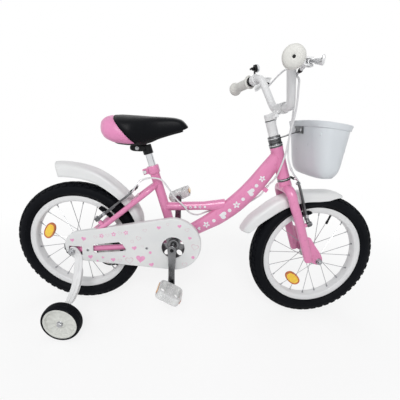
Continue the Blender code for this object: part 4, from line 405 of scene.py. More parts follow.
def smooth_curve(route, spacing):
    ends = [route[0] * 2.0 - route[1]] + list(route) + [route[-1] * 2.0 - route[-2]]
    fine = []
    for a, b, c, d in zip(ends, ends[1:], ends[2:], ends[3:]):
        for k in range(24):
            t = k / 24
            bend = (a * 2.0 - b * 5.0 + c * 4.0 - d) * t * t + (b * 3.0 - a - c * 3.0 + d) * t**3
            fine.append(b + ((c - a) * t + bend) * 0.5)
    return spaced(fine + [route[-1]], spacing)


def belt(rear, rear_radius, front, front_radius, steps):
    apart = front - rear
    heading = math.degrees(math.atan2(apart.z, apart.x))
    lean = math.degrees(math.acos((rear_radius - front_radius) / apart.length))
    outline = []
    for centre, radius, start, sweep in (
        (rear, rear_radius, heading + lean, 360.0 - 2.0 * lean),
        (front, front_radius, heading - lean, 2.0 * lean),
    ):
        outline += [around(centre, radius, start + sweep * k / steps) for k in range(steps + 1)]
    return outline


# Pieces


def mesh_of(name, parts):
    """One mesh from parts, each a shape or a pair of shape and material number."""
    work = bmesh.new()
    for part in parts:
        shape, number = part if isinstance(part[1], int) else (part, 0)
        points, faces = shape
        made = [work.verts.new(point) for point in points]
        for face in faces:
            work.faces.new([made[k] for k in face]).material_index = number
    bmesh.ops.recalc_face_normals(work, faces=work.faces)
    mesh = bpy.data.meshes.new(name)
    work.to_mesh(mesh)
    work.free()
    return mesh


def in_scene(made):
    bpy.context.scene.collection.objects.link(made)
    return made


def piece(name, parts, materials, body, nodes=(), turned=False, bevel=0.0, smooth=38.0,
          place=None):
    made = bpy.data.objects.new(name, parts if isinstance(parts, bpy.types.Mesh) else mesh_of(name, parts))
    mesh = made.data
    if bevel:
        work = bmesh.new()
        work.from_mesh(mesh)
        edges = [e for e in work.edges
                 if len(e.link_faces) == 2 and e.calc_face_angle(0.0) > math.radians(40.0)]
        bmesh.ops.bevel(work, geom=edges, offset=bevel, segments=2, affect="EDGES", clamp_overlap=True)
        work.to_mesh(mesh)
        work.free()
    for material in materials if isinstance(materials, (list, tuple)) else [materials]:
        mesh.materials.append(material)
    if place is not None:
        mesh.transform(place)
    if turned:
        mesh.transform(TURN)
    mesh.shade_smooth()
    mesh.set_sharp_from_angle(angle=math.radians(smooth))
    in_scene(made)
    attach(made, body)
    if nodes:
        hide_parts(*([nodes] if isinstance(nodes, str) else nodes))
    return made


def cut(mesh, shapes, name="cut"):
    """The mesh less the shapes."""
    holder = bpy.data.objects.new(name, mesh)
    in_scene(holder)
    for shape in shapes:
        tool = bpy.data.objects.new("tool", mesh_of("tool", [shape]))
        in_scene(tool)
        modifier = holder.modifiers.new("cut", "BOOLEAN")
        modifier.operation = "DIFFERENCE"
        modifier.object = tool
        graph = bpy.context.evaluated_depsgraph_get()
        fresh = bpy.data.meshes.new_from_object(holder.evaluated_get(graph))
        holder.modifiers.clear()
        holder.data = fresh
        bpy.data.objects.remove(tool, do_unlink=True)
    fresh = holder.data
    bpy.data.objects.remove(holder, do_unlink=True)
    return fresh


def bead(target, start, axis, first, second, radius=0.0014, steps=40):
    """A weld bead where a tube from `start` along `axis` runs into the target shape."""
    tree = BVHTree.FromPolygons([tuple(p) for p in target[0]], target[1])
    ring = []
    for k in range(steps):
        angle = 2.0 * math.pi * k / steps
        source = start + first * math.cos(angle) + second * math.sin(angle)
        hit = tree.ray_cast(source, axis, 0.2)[0]
        if hit is not None:
            ring.append(hit)
    return tube(ring, radius, 6, loop=True) if len(ring) > steps * 0.9 else None


# Wheels

TREAD_ROWS = ((0.0, 0.0048, 0), (0.0068, 0.0122, 1), (0.0142, 0.0206, 0))
CARCASS = eased(((0.0, 0.1974), (0.0075, 0.1969), (0.0125, 0.1958), (0.0165, 0.1938), (0.0195, 0.1912),
                 (0.022, 0.188)))
PITCHES = 52


def tyre_shape(axle):
    """A carcass with three rows of tread blocks a side, the middle one half a pitch on."""
    sides = [0.0]
    for low, high, _ in TREAD_ROWS:
        sides += [low, low + 0.0003, high - 0.0003, high] if low else [high - 0.0003, high]
    outer = []
    for side in sides:
        row = next((r for r in TREAD_ROWS if r[0]
                    + 0.0001 < side < r[1] - 0.0001 or (side == 0.0 == r[0])), None)
        slope = (CARCASS(side + 0.0002) - CARCASS(max(side - 0.0002, 0.0))) / 0.0004
        outer.append((CARCASS(side), side, row[2] if row else None, slope))
    wall = [(0.188, 0.0222), (0.184, 0.0238), (0.18, 0.0245), (0.176, 0.0246), (0.1725, 0.0241),
            (0.1718, 0.0244), (0.1708, 0.0236), (0.166, 0.0202), (0.1625, 0.0166), (0.1606, 0.0138),
            (0.1596, 0.0128), (0.1532, 0.0127), (0.153, 0.009)]
    half = outer + [(radius, side, None, 0.0) for radius, side in wall]
    whole = half + [(radius, -side, row, -slope) for radius, side, row, slope in reversed(half[1:])]
    shares = (0.0, 0.04, 0.1, 0.14, 0.5, 0.54, 0.6, 0.64)
    rows = []
    points = []
    for radius, side, row, slope in whole:
        ring = []
        for pitch in range(PITCHES):
            for share in shares:
                lift = 0.0
                if row == 0 and 0.03 < share < 0.61:
                    lift = 0.0026
                elif row == 1 and (share < 0.11 or share > 0.53):
                    lift = 0.0026
                normal = Vector((1.0, -slope)).normalized() * lift
                degrees = 360.0 * (pitch + share) / PITCHES
                ring.append(len(points))
                points.append(around(axle, radius + normal.x, degrees, side + normal.y))
        rows.append(ring)
    return points, joined_rows(rows, True)


def rim_shape(axle):
    half = [(0.1395, 0.0), (0.1398, 0.0062), (0.141, 0.012), (0.1424, 0.0146), (0.1448, 0.0157),
            (0.1545, 0.016), (0.1582, 0.016), (0.159, 0.0154), (0.1592, 0.0146), (0.1588, 0.0136),
            (0.158, 0.0131), (0.1528, 0.0131)]
    profile = half + [(radius, -side) for radius, side in reversed(half[1:])]
    return revolved(axle, Y, profile, 144, loop=True)


def spoke_ends(axle, number, phase):
    side = 1.0 if number % 2 else -1.0
    outer = number % 4 < 2
    angle = phase + 360.0 / SPOKES * number
    level = 0.028 + (0.0018 if outer else -0.0018)
    start = around(axle, 0.017, angle + (34.0 if outer else -34.0), side * level)
    return start, around(axle, 0.1389, angle, side * 0.00288)


def hub_parts(axle, phase, chain_seat):
    profile = [(0.0055, -0.046), (chain_seat, -0.046), (chain_seat, -0.0325), (0.0195, -0.0318),
               (0.0216, -0.031), (0.022, -0.03), (0.022, -0.0262), (0.0212, -0.025), (0.0175, -0.0235),
               (0.0142, -0.0215), (0.0134, -0.018), (0.013, 0.0), (0.0134, 0.018), (0.0142, 0.0215),
               (0.0175, 0.0235), (0.0212, 0.025), (0.022, 0.0262), (0.022, 0.03), (0.0216, 0.031),
               (0.0195, 0.0318), (0.0125, 0.033), (0.012, 0.045), (0.011, 0.046), (0.0055, 0.046)]
    parts = [revolved(axle, Y, profile, 48, loop=True)]
    for k in range(SPOKES):
        start, end = spoke_ends(axle, k, phase)
        along = (end - start).normalized()
        side = 1.0 if start.y > 0 else -1.0
        out = side * (1.0 if k % 4 < 2 else -1.0)
        elbow = [start - Y * out * 0.0042, start - Y * out * 0.0016, start + along * 0.0012,
                 start + along * 0.006]
        path = smooth_curve(elbow, 0.0012) + [end]
        parts.append(tube(path, 0.00098, 8))
        parts.append(rod(*span(end, along, -0.009, 0.0008), 0.0018, 8, 0.0003))
    return parts


def reflector_parts(axle, share, phase):
    start, end = spoke_ends(axle, 0, phase)
    along = (end - start).normalized()
    tangent = Y.cross(along).normalized()
    normal = along.cross(tangent).normalized()
    if normal.y > 0.0:
        normal = -normal
    seat = start.lerp(end, share) + normal * 0.0013

    def ring(height, size, inset=0.0):
        return oval(seat + normal * height, along * (0.017 * size - inset),
                    tangent * (0.029 * size - inset), 48, 2.3)

    body = lofted([ring(0.0, 0.93), ring(0.0008, 0.98), ring(0.0024, 1.0), ring(0.0056, 1.0),
                   ring(0.007, 0.97), ring(0.0075, 0.92), ring(0.0072, 0.88), ring(0.0068, 0.86)])
    lens = lofted([ring(0.0066, 0.84, 0.001), ring(0.0071, 0.82, 0.0018), ring(0.0076, 0.66, 0.0022),
                   ring(0.0078, 0.4, 0.001), ring(0.0079, 0.12)])
    clip = block(seat - normal * 0.0012, along * 0.008, tangent * 0.006, normal * 0.0012)
    return [(body, 0), (lens, 1), (clip, 0)]


def make_wheel(name, axle, phase, chain_seat, share, valve, turned):
    body = name + "_wheel"
    piece(name + "_tyre_tread", [tyre_shape(axle)], RUBBER, body, name + "_tyre", turned, smooth=30.0)
    spoke_nubs = []
    for k in range(SPOKES):
        start, end = spoke_ends(axle, k, phase)
        along = (end - start).normalized()
        spoke_nubs.append((rod(*span(end, along, -0.0006, 0.0016), 0.003, 10), 1))
    away = turned_up(valve)
    stem = [(rod(axle + away * 0.1405, axle + away * 0.113, 0.0031, 16), 2),
            (rod(axle + away * 0.1195, axle + away * 0.109, 0.0038, 16, 0.0006), 2)]
    piece(name + "_rim_ring", [(rim_shape(axle), 0)] + spoke_nubs + stem, [WHITE, STEEL, BLACK], body,
          name + "_rim", turned)
    piece(name + "_spokes", hub_parts(axle, phase, chain_seat), STEEL, body, name + "_hub", turned)
    piece(name + "_reflector_lens", reflector_parts(axle, share, phase), [AMBER, YELLOW], body,
          name + "_reflector", turned)


make_wheel("front", FRONT_AXLE, 230.9, 0.012, 0.643, 69.6, True)
make_wheel("rear", REAR_AXLE, 154.8, 0.0175, 0.679, 325.0, False)


def axle_parts(axle, nuts, end):
    """A threaded axle with its nuts. Each nut is a pair of inner and outer side."""
    parts = [rod(axle - Y * end, axle + Y * end, 0.0045, 20, 0.0008)]
    for side in (-1.0, 1.0):
        parts.append(rod(*span(axle, Y * side, 0.0463, 0.0502), 0.0085, 32, 0.0006))
        for low, high in nuts:
            parts.append(rod(axle + Y * side * low, axle + Y * side * (low + 0.0013), 0.0098, 32, 0.0003))
            parts.append(nut(axle + Y * side * (low + 0.0013), axle + Y * side * high, 0.0092))
    return parts


piece("front_axle_nuts", axle_parts(FRONT_AXLE, [(0.0548, 0.0628)], 0.0668), STEEL, "steering", "front_axle",
      True)
piece("rear_axle_nuts", axle_parts(REAR_AXLE, [(0.0548, 0.0663), (0.0711, 0.0791)], 0.0831), STEEL, "frame",
      "rear_axle")


# Frame

DOWN_START = on_steerer(-0.036)


def line_cross(first, first_angle, second, second_angle):
    a, b = turned_up(first_angle), turned_up(second_angle)
    gap = second - first
    return first + a * ((gap.x * b.z - gap.z * b.x) / (a.x * b.z - a.z * b.x))


DOWN_CORNER = line_cross(DOWN_START, 57.0, CRANK, 32.2)
DOWN_DEPTH = ((0.0, 0.022), (0.14, 0.0265), (0.5, 0.028), (0.8, 0.026), (1.0, 0.019))
DOWN_WIDTH = ((0.0, 0.0172), (0.14, 0.019), (0.8, 0.019), (1.0, 0.016))
rough_path = rounded([DOWN_START, DOWN_CORNER, CRANK], 0.5, 6)
walked = [0.0]
for p, q in zip(rough_path, rough_path[1:]):
    walked.append(walked[-1] + (q - p).length)
last = len(rough_path) - 1
down_depth = eased([(walked[k] / walked[-1], between(DOWN_DEPTH, k / last)) for k in range(last + 1)])
down_width = eased([(walked[k] / walked[-1], between(DOWN_WIDTH, k / last)) for k in range(last + 1)])
DOWN_PATH = spaced(rounded([DOWN_START, DOWN_CORNER, CRANK], 0.5, 40), 0.006)
DOWN_HALVES = [(down_width(k / (len(DOWN_PATH) - 1)), down_depth(k / (len(DOWN_PATH) - 1)))
               for k in range(len(DOWN_PATH))]
TOP_START = CRANK + SEAT_AXIS * 0.113
TOP_END = line_cross(TOP_START, 4.5, CRANK, 32.2) + turned_up(4.5) * -0.05
TOP_PATH = spaced([TOP_START, TOP_END], 0.006)
TOP_HALVES = [(0.0135, 0.0135 + 0.007 * max(k / (len(TOP_PATH) - 1) - 0.66, 0.0) / 0.34)
              for k in range(len(TOP_PATH))]
STAY_SPREAD = ((0.0, 0.0542), (0.24, 0.0542), (0.4, 0.05), (0.62, 0.043), (0.74, 0.04), (0.86, 0.038),
               (0.94, 0.027), (1.0, 0.006))
CHAIN_STAY_SPREAD = ((0.0, 0.0535), (0.45, 0.047), (0.66, 0.04), (0.73, 0.0365), (0.845, 0.0302),
                     (1.0, 0.023))
GUARD_BOSSES = (REAR_AXLE + flat(0.0472, 0.0045), CRANK + flat(-0.078, -0.006))
REAR_BRAKE_ALONG = math.sqrt(BRAKE_CIRCLE**2 - REAR_SETBACK**2) - PAD_ALONG
FRONT_BRAKE_ALONG = -FORK_LENGTH + math.sqrt(BRAKE_CIRCLE**2 - 0.003**2) - PAD_ALONG
DOWN_RUN = turned_up(57.0)
CABLE_STOP = DOWN_START - DOWN_RUN * 0.1 + turned_up(-33.0) * 0.0325


def stay(end, start, spread, side, half_across, half_up):
    """A stay's tube, whose spread is eased between its stations."""
    out = eased(spread)
    path = [start.lerp(end, k / 40) + Y * side * out(k / 40) for k in range(41)]
    return swept(path, (half_across, half_up), 24, Z)


def softened(corners, radius, shares):
    """A closed outline with its corners drawn round, at these shares of each bend."""
    ring = []
    for before, corner, after in zip(corners[-1:] + corners, corners, corners[1:] + corners[:1]):
        reach = min(radius, (corner - before).length * 0.45, (after - corner).length * 0.45)
        a = corner + (before - corner).normalized() * reach
        b = corner + (after - corner).normalized() * reach
        ring += [(a.lerp(corner, t)).lerp(corner.lerp(b, t), t) for t in shares]
    return ring


def plate(outline, side, level, thick, radius=0.006):
    """A flat plate with rounded corners."""
    ring = softened(outline, radius, (0.0, 0.25, 0.5, 0.75, 1.0))
    return prism([point + Y * side * level for point in ring], Y * side * thick)


def stud_parts(centre, out, setback):
    return [(rod(centre, centre + out * (setback + 0.0062), 0.004), 1),
            (rod(*span(centre, out, setback + 0.0058, setback + 0.0088), 0.0062, 24, 0.0006), 1),
            (nut(*span(centre, out, setback + 0.008, setback + 0.0094), 0.0036), 1),
            (rod(centre, centre + out * (setback - 0.008), 0.0062, 24, 0.0008), 0)]


head = revolved(on_steerer(-0.1025), STEER_AXIS,
                [(0.0, 0.0), (0.0182, 0.0), (0.0187, 0.0015), (0.0187, 0.0065), (0.018, 0.0085),
                 (0.018, 0.0865), (0.0187, 0.0885), (0.0187, 0.0935), (0.0182, 0.095), (0.0, 0.095)], 48)
down = swept(DOWN_PATH, DOWN_HALVES, 40)
top = swept(TOP_PATH, TOP_HALVES, 32)
seat_tube = rod(CRANK, SEAT_TOP - SEAT_AXIS * 0.0005, 0.0143, 40)
shell = rod(*span(CRANK, Y, -0.034, 0.034), 0.02, 48, 0.0008)
seat_collar = revolved(SEAT_TOP - SEAT_AXIS * 0.024, SEAT_AXIS,
                       [(0.0, 0.0), (0.015, 0.0), (0.0174, 0.0014), (0.0178, 0.003), (0.0178, 0.0225),
                        (0.017, 0.0243), (0.0118, 0.0246), (0.0118, 0.023), (0.0, 0.023)], 48)
parts = [(shape, 0) for shape in (head, down, top, seat_tube, shell, seat_collar)]
for half in (-1.0, 1.0):
    ear = SEAT_TOP - SEAT_AXIS * 0.012 - SEAT_FRONT * 0.0225 + Y * half * 0.0041
    parts.append((block(ear, SEAT_FRONT * 0.0092, Y * 0.0027, SEAT_AXIS * 0.0085), 0))
for side in (-1.0, 1.0):
    near = stay(STAY_TOP, REAR_AXLE + STAY_AXIS * 0.022, STAY_SPREAD, side, 0.008, 0.008)
    low = stay(CRANK + flat(-0.012, -0.003), REAR_AXLE + flat(0.022, 0.001), CHAIN_STAY_SPREAD,
               side, 0.009, 0.007)
    outline = [around(REAR_AXLE, 0.0155, angle) for angle in (100, 125, 150, 175, 200, 225, 250, 270, 290)]
    outline += [REAR_AXLE + flat(0.036, -0.004), REAR_AXLE + flat(0.04, 0.008),
                on_stay(0.04, 0.004)]
    parts += [(near, 0), (low, 0), (plate(outline, side, 0.0505, 0.004, 0.003), 0)]
    parts += stud_parts(on_stay(REAR_BRAKE_ALONG, 0.0, side * STUD_SIDE), STAY_BACK, REAR_SETBACK)
    weld = bead(seat_tube, STAY_TOP - STAY_AXIS * 0.05 + Y * side * 0.006, STAY_AXIS, Y * 0.008,
                STAY_BACK * 0.008)
    if weld:
        parts.append((weld, 0))
REAR_RADII = ((4.0, 0.2165), (20.0, 0.2186), (27.0, 0.2269), (40.0, 0.2335), (56.0, 0.24), (74.0, 0.252),
              (90.0, 0.26), (102.0, 0.267))
for degrees in (41.0, 5.0):
    middle = around(REAR_AXLE, between(REAR_RADII, degrees) + 0.0063, degrees)
    parts.append((rod(*span(middle, Y, -0.0385, 0.0385), 0.006, 24), 0))
    parts.append((rod(middle + turned_up(degrees) * 0.004, middle + turned_up(degrees) * 0.0095, 0.0042, 16,
                      0.0006), 1))
for boss in GUARD_BOSSES:
    parts.append((rod(*span(boss, -Y, 0.04, 0.0632), 0.0045), 0))
parts.append((block(CABLE_STOP, DOWN_RUN * 0.006, Y * 0.005, turned_up(147.0) * 0.008), 0))
up = turned_up(4.5 + 90.0)
for weld in (
    bead(seat_tube, TOP_START + turned_up(4.5) * 0.06, -turned_up(4.5), Y * 0.0135, up * 0.0135),
    bead(down, TOP_START + turned_up(4.5) * 0.09, turned_up(4.5), Y * 0.013, up * 0.014),
    bead(shell, CRANK + SEAT_AXIS * 0.06, -SEAT_AXIS, Y * 0.0143, SEAT_FRONT * 0.0143),
    bead(head, DOWN_START - DOWN_RUN * 0.06, DOWN_RUN, Y * 0.0172, turned_up(147.0) * 0.024),
):
    if weld:
        parts.append((weld, 0))
piece("frame_tubes", parts, [PINK, STEEL], "frame", "frame")

bolt = SEAT_TOP - SEAT_AXIS * 0.012 - SEAT_FRONT * 0.0253
piece("seat_bolt_head", [rod(*span(bolt, Y, -0.0092, 0.0092), 0.003),
                         rod(*span(bolt, -Y, 0.0128, 0.0072), 0.0056, 24, 0.0008),
                         nut(*span(bolt, Y, 0.0072, 0.0125), 0.0058)], CHROME, "frame", "seat_bolt")

CUP = [(0.0133, 0.0115), (0.0185, 0.011), (0.0195, 0.0095), (0.0195, 0.006), (0.0186, 0.0052),
       (0.0186, 0.0036), (0.0193, 0.0028), (0.0193, 0.0006), (0.0152, 0.0003), (0.0152, -0.008),
       (0.0133, -0.008)]
CUP_RING = [(0.018, 0.0), (0.0197, 0.0003), (0.0199, 0.0011), (0.0197, 0.0019), (0.018, 0.0022)]
piece("upper_cup_rings", [(revolved(on_steerer(-0.0075), STEER_AXIS, CUP, 48, loop=True), 0),
                          (revolved(on_steerer(-0.0024), STEER_AXIS,
                                    CUP_RING, 48, loop=True), 1)],
      [DARK, CHROME], "frame", "headset_cup_upper")
piece("lower_cup_rings", [(revolved(on_steerer(-0.1025), -STEER_AXIS,
                                    [(r, min(h, 0.0075)) for r, h in CUP], 48, loop=True), 0),
                          (revolved(on_steerer(-0.1062), STEER_AXIS,
                                    CUP_RING, 48, loop=True), 1)],
      [DARK, CHROME], "frame", "headset_cup_lower")
bracket = [(0.0158, -0.0343), (0.0186, -0.0343), (0.019, -0.035), (0.019, -0.036), (0.0184, -0.0365),
           (0.0086, -0.0365)]
piece("bottom_bracket_cups",
      [revolved(CRANK, Y, bracket + [(r, -h) for r, h in reversed(bracket)], 48, loop=True)],
      DARK, "frame", "bottom_bracket")


# Fenders

ARCH = eased(((0.0, 0.0), (0.5, 0.05), (0.72, 0.115), (0.85, 0.22), (0.93, 0.36), (0.97, 0.55), (0.992, 0.8)))


def fender(name, axle, radii, skirts, body, node, turned):
    """A thin arched shell with rolled edges and rounded ends."""
    shares = [0.0, 0.15, 0.3, 0.45, 0.58, 0.7, 0.8, 0.87, 0.92, 0.955, 0.975, 0.988]
    radius_at, skirt_at = eased(radii), eased(skirts)
    first, final = radii[0][0], radii[-1][0]
    rings = []
    steps = 90
    for k in range(steps + 1):
        t = k / steps
        degrees = first + (final - first) * (0.5 - 0.5 * math.cos(math.pi * t))
        near = min(degrees - first, final - degrees) * math.radians(0.24) / 0.012
        width = 0.03 * (0.55 + 0.45 * math.sqrt(max(1.0 - (1.0 - min(near, 1.0)) ** 2, 0.0)))
        radius, skirt = radius_at(degrees), skirt_at(degrees)
        outer = [(share * width, radius - ARCH(share) * skirt) for share in shares]
        outer += [(width, radius - 0.8 * skirt), (width, radius - 0.985 * skirt),
                  (width - 0.0006, radius - skirt)]
        inner = [(width - 0.0018, radius - skirt), (width - 0.0024, radius - 0.985 * skirt)]
        inner += [(share * (width - 0.0024), radius - ARCH(share) * skirt - 0.0024)
                  for share in reversed(shares)]
        half = outer + inner
        section = half + [(-side, level) for side, level in half[-2:0:-1]]
        rings.append([around(axle, level, degrees, side) for side, level in section])
    return piece(name, [lofted(rings)], PLASTIC, body, node, turned, smooth=50.0)


REAR_SKIRT = ((4.0, 0.014), (20.0, 0.02), (56.0, 0.03), (90.0, 0.041), (102.0, 0.044))
FRONT_RADII = ((72.0, 0.209), (76.0, 0.2132), (82.0, 0.2142), (92.0, 0.2122), (107.0, 0.2192),
               (127.0, 0.2304), (140.0, 0.2374), (152.0, 0.2488), (160.75, 0.2534))
FRONT_SKIRT = ((72.0, 0.006), (76.0, 0.014), (80.0, 0.022), (84.0, 0.029), (92.0, 0.031), (127.0, 0.035),
               (150.0, 0.031), (157.0, 0.027), (160.75, 0.02))
fender("rear_fender_shell", REAR_AXLE, REAR_RADII, REAR_SKIRT, "frame", "rear_fender", False)
fender("front_fender_shell", FRONT_AXLE, FRONT_RADII, FRONT_SKIRT, "steering", "front_fender", True)


# Prints: flat motifs laid just over a surface


def heart(size):
    """The outline of a heart about its middle, with this overall width."""
    made = []
    for k in range(36):
        t = 2.0 * math.pi * k / 36
        height = 13.0 * math.cos(t) - 5.0 * math.cos(2 * t) - 2.0 * math.cos(3 * t) - math.cos(4 * t) + 2.5
        made.append((16.0 * math.sin(t) ** 3, height))
    return [(x * size / 32.0, y * size / 32.0) for x, y in made]


def disc(size):
    return [(size / 2.0 * math.cos(2.0 * math.pi * k / 24), size / 2.0 * math.sin(2.0 * math.pi * k / 24))
            for k in range(24)]


def flower(size):
    made = []
    for k in range(60):
        t = 2.0 * math.pi * k / 60
        reach = size / 2.0 * (0.74 + 0.26 * math.cos(5.0 * t))
        made.append((reach * math.cos(t), reach * math.sin(t)))
    return made


def motif(outline, place, ring=0.0, spin=0.0):
    """A motif laid on the surface that `place` maps flat points to. A ring share leaves only its border."""
    c, s = math.cos(math.radians(spin)), math.sin(math.radians(spin))
    turned = [(x * c - y * s, x * s + y * c) for x, y in outline]
    count = len(turned)
    levels = [ring, (1.0 + ring) / 2.0, 1.0] if ring else [0.0, 0.2, 0.4, 0.6, 0.8, 1.0]
    points, rows = [], []
    for level in levels:
        if level == 0.0:
            points.append(place(0.0, 0.0))
            rows.append([0] * count)
            continue
        rows.append(list(range(len(points), len(points) + count)))
        points += [place(x * level, y * level) for x, y in turned]
    return points, joined_rows(rows, False)


# Chain guard

GUARD_REAR = REAR_AXLE + flat(0.025, 0.015)
GUARD_FRONT = CRANK + flat(0.0015, 0.009)
FACE = 0.0655
levels = [(0.002, FACE - 0.002), (0.002, FACE - 0.015), (0.0012, FACE - 0.0153), (0.0003, FACE - 0.015),
          (0.0, FACE - 0.014), (0.0, FACE - 0.0036), (0.0004, FACE - 0.002), (0.0014, FACE - 0.0008),
          (0.003, FACE - 0.0001), (0.0045, FACE)]
rings = [[p - Y * level for p in belt(GUARD_REAR, 0.048 - inset, GUARD_FRONT, 0.084 - inset, 44)]
         for inset, level in levels]
mid = -Y * FACE

CUT_SHARES = (0.0, 0.2, 0.4, 0.6, 0.8, 1.0)
window = [REAR_AXLE + flat(0.0098 + a * 0.0202, 0.0007 + b * 0.0148) for a, b in
          ((1, 1), (-1, 1), (-1, -1), (1, -1))]
slot_corners = [REAR_AXLE + Vector(p) for p in (
    (0.064, 0.0, -0.0045), (0.064, 0.0, 0.024), (0.132, 0.0, 0.035), (0.15, 0.0, 0.038), (0.165, 0.0, 0.013),
    (0.16, 0.0, 0.008))]
reach = Y * 0.02
HUB_HOLE = GUARD_FRONT + flat(0.0, -0.009)
cuts = [prism([p + mid - reach for p in softened(window, 0.003, CUT_SHARES)], reach * 2.0),
        prism([p + mid - reach for p in softened(slot_corners, 0.006, CUT_SHARES)], reach * 2.0),
        rod(HUB_HOLE + mid - reach, HUB_HOLE + mid + reach, 0.035, 72),
        block(on_stay(0.118, 0.0, -0.056), STAY_AXIS * 0.032, Y * 0.0068, STAY_BACK * 0.0092)]
guard_mesh = cut(mesh_of("guard", [lofted(rings)]), cuts)
piece("chain_guard_tray", guard_mesh, PLASTIC, "frame", "chain_guard", smooth=32.0)
screws = []
for boss in GUARD_BOSSES:
    screws.append((rod(*span(boss, -Y, 0.065, 0.0668), 0.0046, 24, 0.0006), 0))
    # The screw slots are thin plates of near-black painted shade laid on the heads
    screws.append((block(boss - Y * 0.0668, X * 0.003, Y * 0.0002, Z * 0.0006), 1))
    screws.append((block(boss - Y * 0.0668, X * 0.0006, Y * 0.0002, Z * 0.003), 1))
rolled = [(0.0344, 0.064), (0.035, 0.0654), (0.0362, 0.0659), (0.0374, 0.0656)]
screws.append((revolved(HUB_HOLE, -Y, rolled + [(0.037, 0.064)], 72, loop=True), 2))
piece("chain_guard_screws", screws, [STEEL, HOLE, PLASTIC], "frame")


def guard_at(x, z, lift=0.00012):
    return lambda u, v: Vector((x + u, -FACE - lift, z + v))


PINK_MOTIFS = [
    # across, up, size, kind, spin
    (0.002, 0.234, 0.0125, heart, 8), (0.037, 0.2405, 0.0145, heart, -10), (0.054, 0.181, 0.015, heart, 6),
    (0.092, 0.1815, 0.0085, heart, -14), (0.124, 0.1755, 0.014, heart, 10), (0.157, 0.1895, 0.0075, heart, 0),
    (0.19, 0.219, 0.015, heart, 12), (0.208, 0.183, 0.0275, heart, -4), (0.242, 0.166, 0.015, heart, 14),
    (0.238, 0.208, 0.009, disc, 0), (0.264, 0.29, 0.0125, heart, 0), (0.356, 0.262, 0.011, heart, -8),
    (0.368, 0.2, 0.01, disc, 0), (0.092, 0.2545, 0.015, flower, 0), (0.129, 0.262, 0.015, flower, 18),
    (0.166, 0.269, 0.015, flower, 36), (0.075, 0.17, 0.006, disc, 0), (0.325, 0.298, 0.012, heart, 10),
]
PALE_MOTIFS = [
    (0.073, 0.249, 0.011, heart, -8), (0.1105, 0.257, 0.012, heart, 6), (0.1475, 0.266, 0.012, heart, -6),
    (0.174, 0.176, 0.0255, heart, 5), (0.144, 0.1745, 0.013, heart, -8), (0.203, 0.252, 0.016, heart, -10),
    (0.223, 0.279, 0.012, heart, 12), (0.372, 0.233, 0.023, heart, -12), (0.344, 0.173, 0.0165, heart, 10),
    (0.184, 0.2415, 0.01, disc, 0), (0.348, 0.288, 0.014, heart, 16), (0.106, 0.168, 0.009, disc, 0),
    (0.29, 0.3035, 0.0085, disc, 0), (0.215, 0.228, 0.0085, flower, 0),
]
prints = [(motif(kind(size), guard_at(x, z), spin=spin), 0) for x, z, size, kind, spin in PINK_MOTIFS]
prints += [(motif(kind(size), guard_at(x, z), 0.8, spin), 1) for x, z, size, kind, spin in PALE_MOTIFS]
prints += [(motif(disc(0.0042), guard_at(x, z, 0.0002)), 2)
           for x, z in ((0.092, 0.2545), (0.129, 0.262), (0.166, 0.269))]
piece("chain_guard_print", prints, [PRINT_PINK, PRINT_PALE, PRINT_WHITE], "frame")


PRINT_LIFT = 0.0003


def tube_side(path, halves, share_of, side):
    """Maps flat points to the outer face of an oval tube: along it, and up round it."""
    lengths = [0.0]
    for p, q in zip(path, path[1:]):
        lengths.append(lengths[-1] + (q - p).length)

    def place(u, v):
        distance = min(max(share_of + u, 0.001), lengths[-1] - 0.001)
        k = max(i for i in range(len(lengths) - 1) if lengths[i] <= distance)
        share = (distance - lengths[k]) / (lengths[k + 1] - lengths[k])
        point = path[k].lerp(path[k + 1], share)
        tangent = (path[k + 1] - path[k]).normalized()
        across = halves[k][0] + (halves[k + 1][0] - halves[k][0]) * share
        depth = halves[k][1] + (halves[k + 1][1] - halves[k][1]) * share
        up_way = tangent.cross(Y).normalized()
        if up_way.z < 0:
            up_way = -up_way
        angle = v / depth
        return (point + up_way * (depth + PRINT_LIFT) * math.sin(angle)
                + Y * side * (across + PRINT_LIFT) * math.cos(angle))

    return place


tube_prints = []
for side in (-1.0, 1.0):
    for at, size, kind, spin in ((0.078, 0.02, flower, 0), (0.104, 0.011, disc, 0), (0.13, 0.025, heart, -35),
                                 (0.16, 0.011, disc, 0), (0.186, 0.023, flower, 20), (0.213, 0.0115, disc, 0),
                                 (0.24, 0.026, heart, -50), (0.271, 0.011, disc, 0),
                                 (0.298, 0.022, flower, 40), (0.325, 0.012, heart, -60)):
        spot = tube_side(DOWN_PATH, DOWN_HALVES, at, side)
        turn = spin * (1.0 if side < 0 else -1.0)
        tube_prints.append((motif(kind(size), spot, spin=180.0 + turn), 0))
        if kind is flower:
            tube_prints.append((motif(disc(size * 0.28), lambda u, v,
                                      f=spot: f(u, v) + Y * side * 0.0002), 1))
    for at, size, kind in ((0.066, 0.0075, disc), (0.08, 0.0105, flower), (0.095, 0.0075, disc),
                           (0.109, 0.0105, flower), (0.124, 0.0075, disc)):
        spot = tube_side(TOP_PATH, TOP_HALVES, at, side)
        tube_prints.append((motif(kind(size), spot), 0))
        if kind is flower:
            tube_prints.append((motif(disc(0.0036), lambda u, v, f=spot: f(u, v) + Y * side * 0.0002), 2))
piece("frame_prints", tube_prints, [PRINT_WHITE, PRINT_PINK, PRINT_GREY], "frame")


# Chain drive

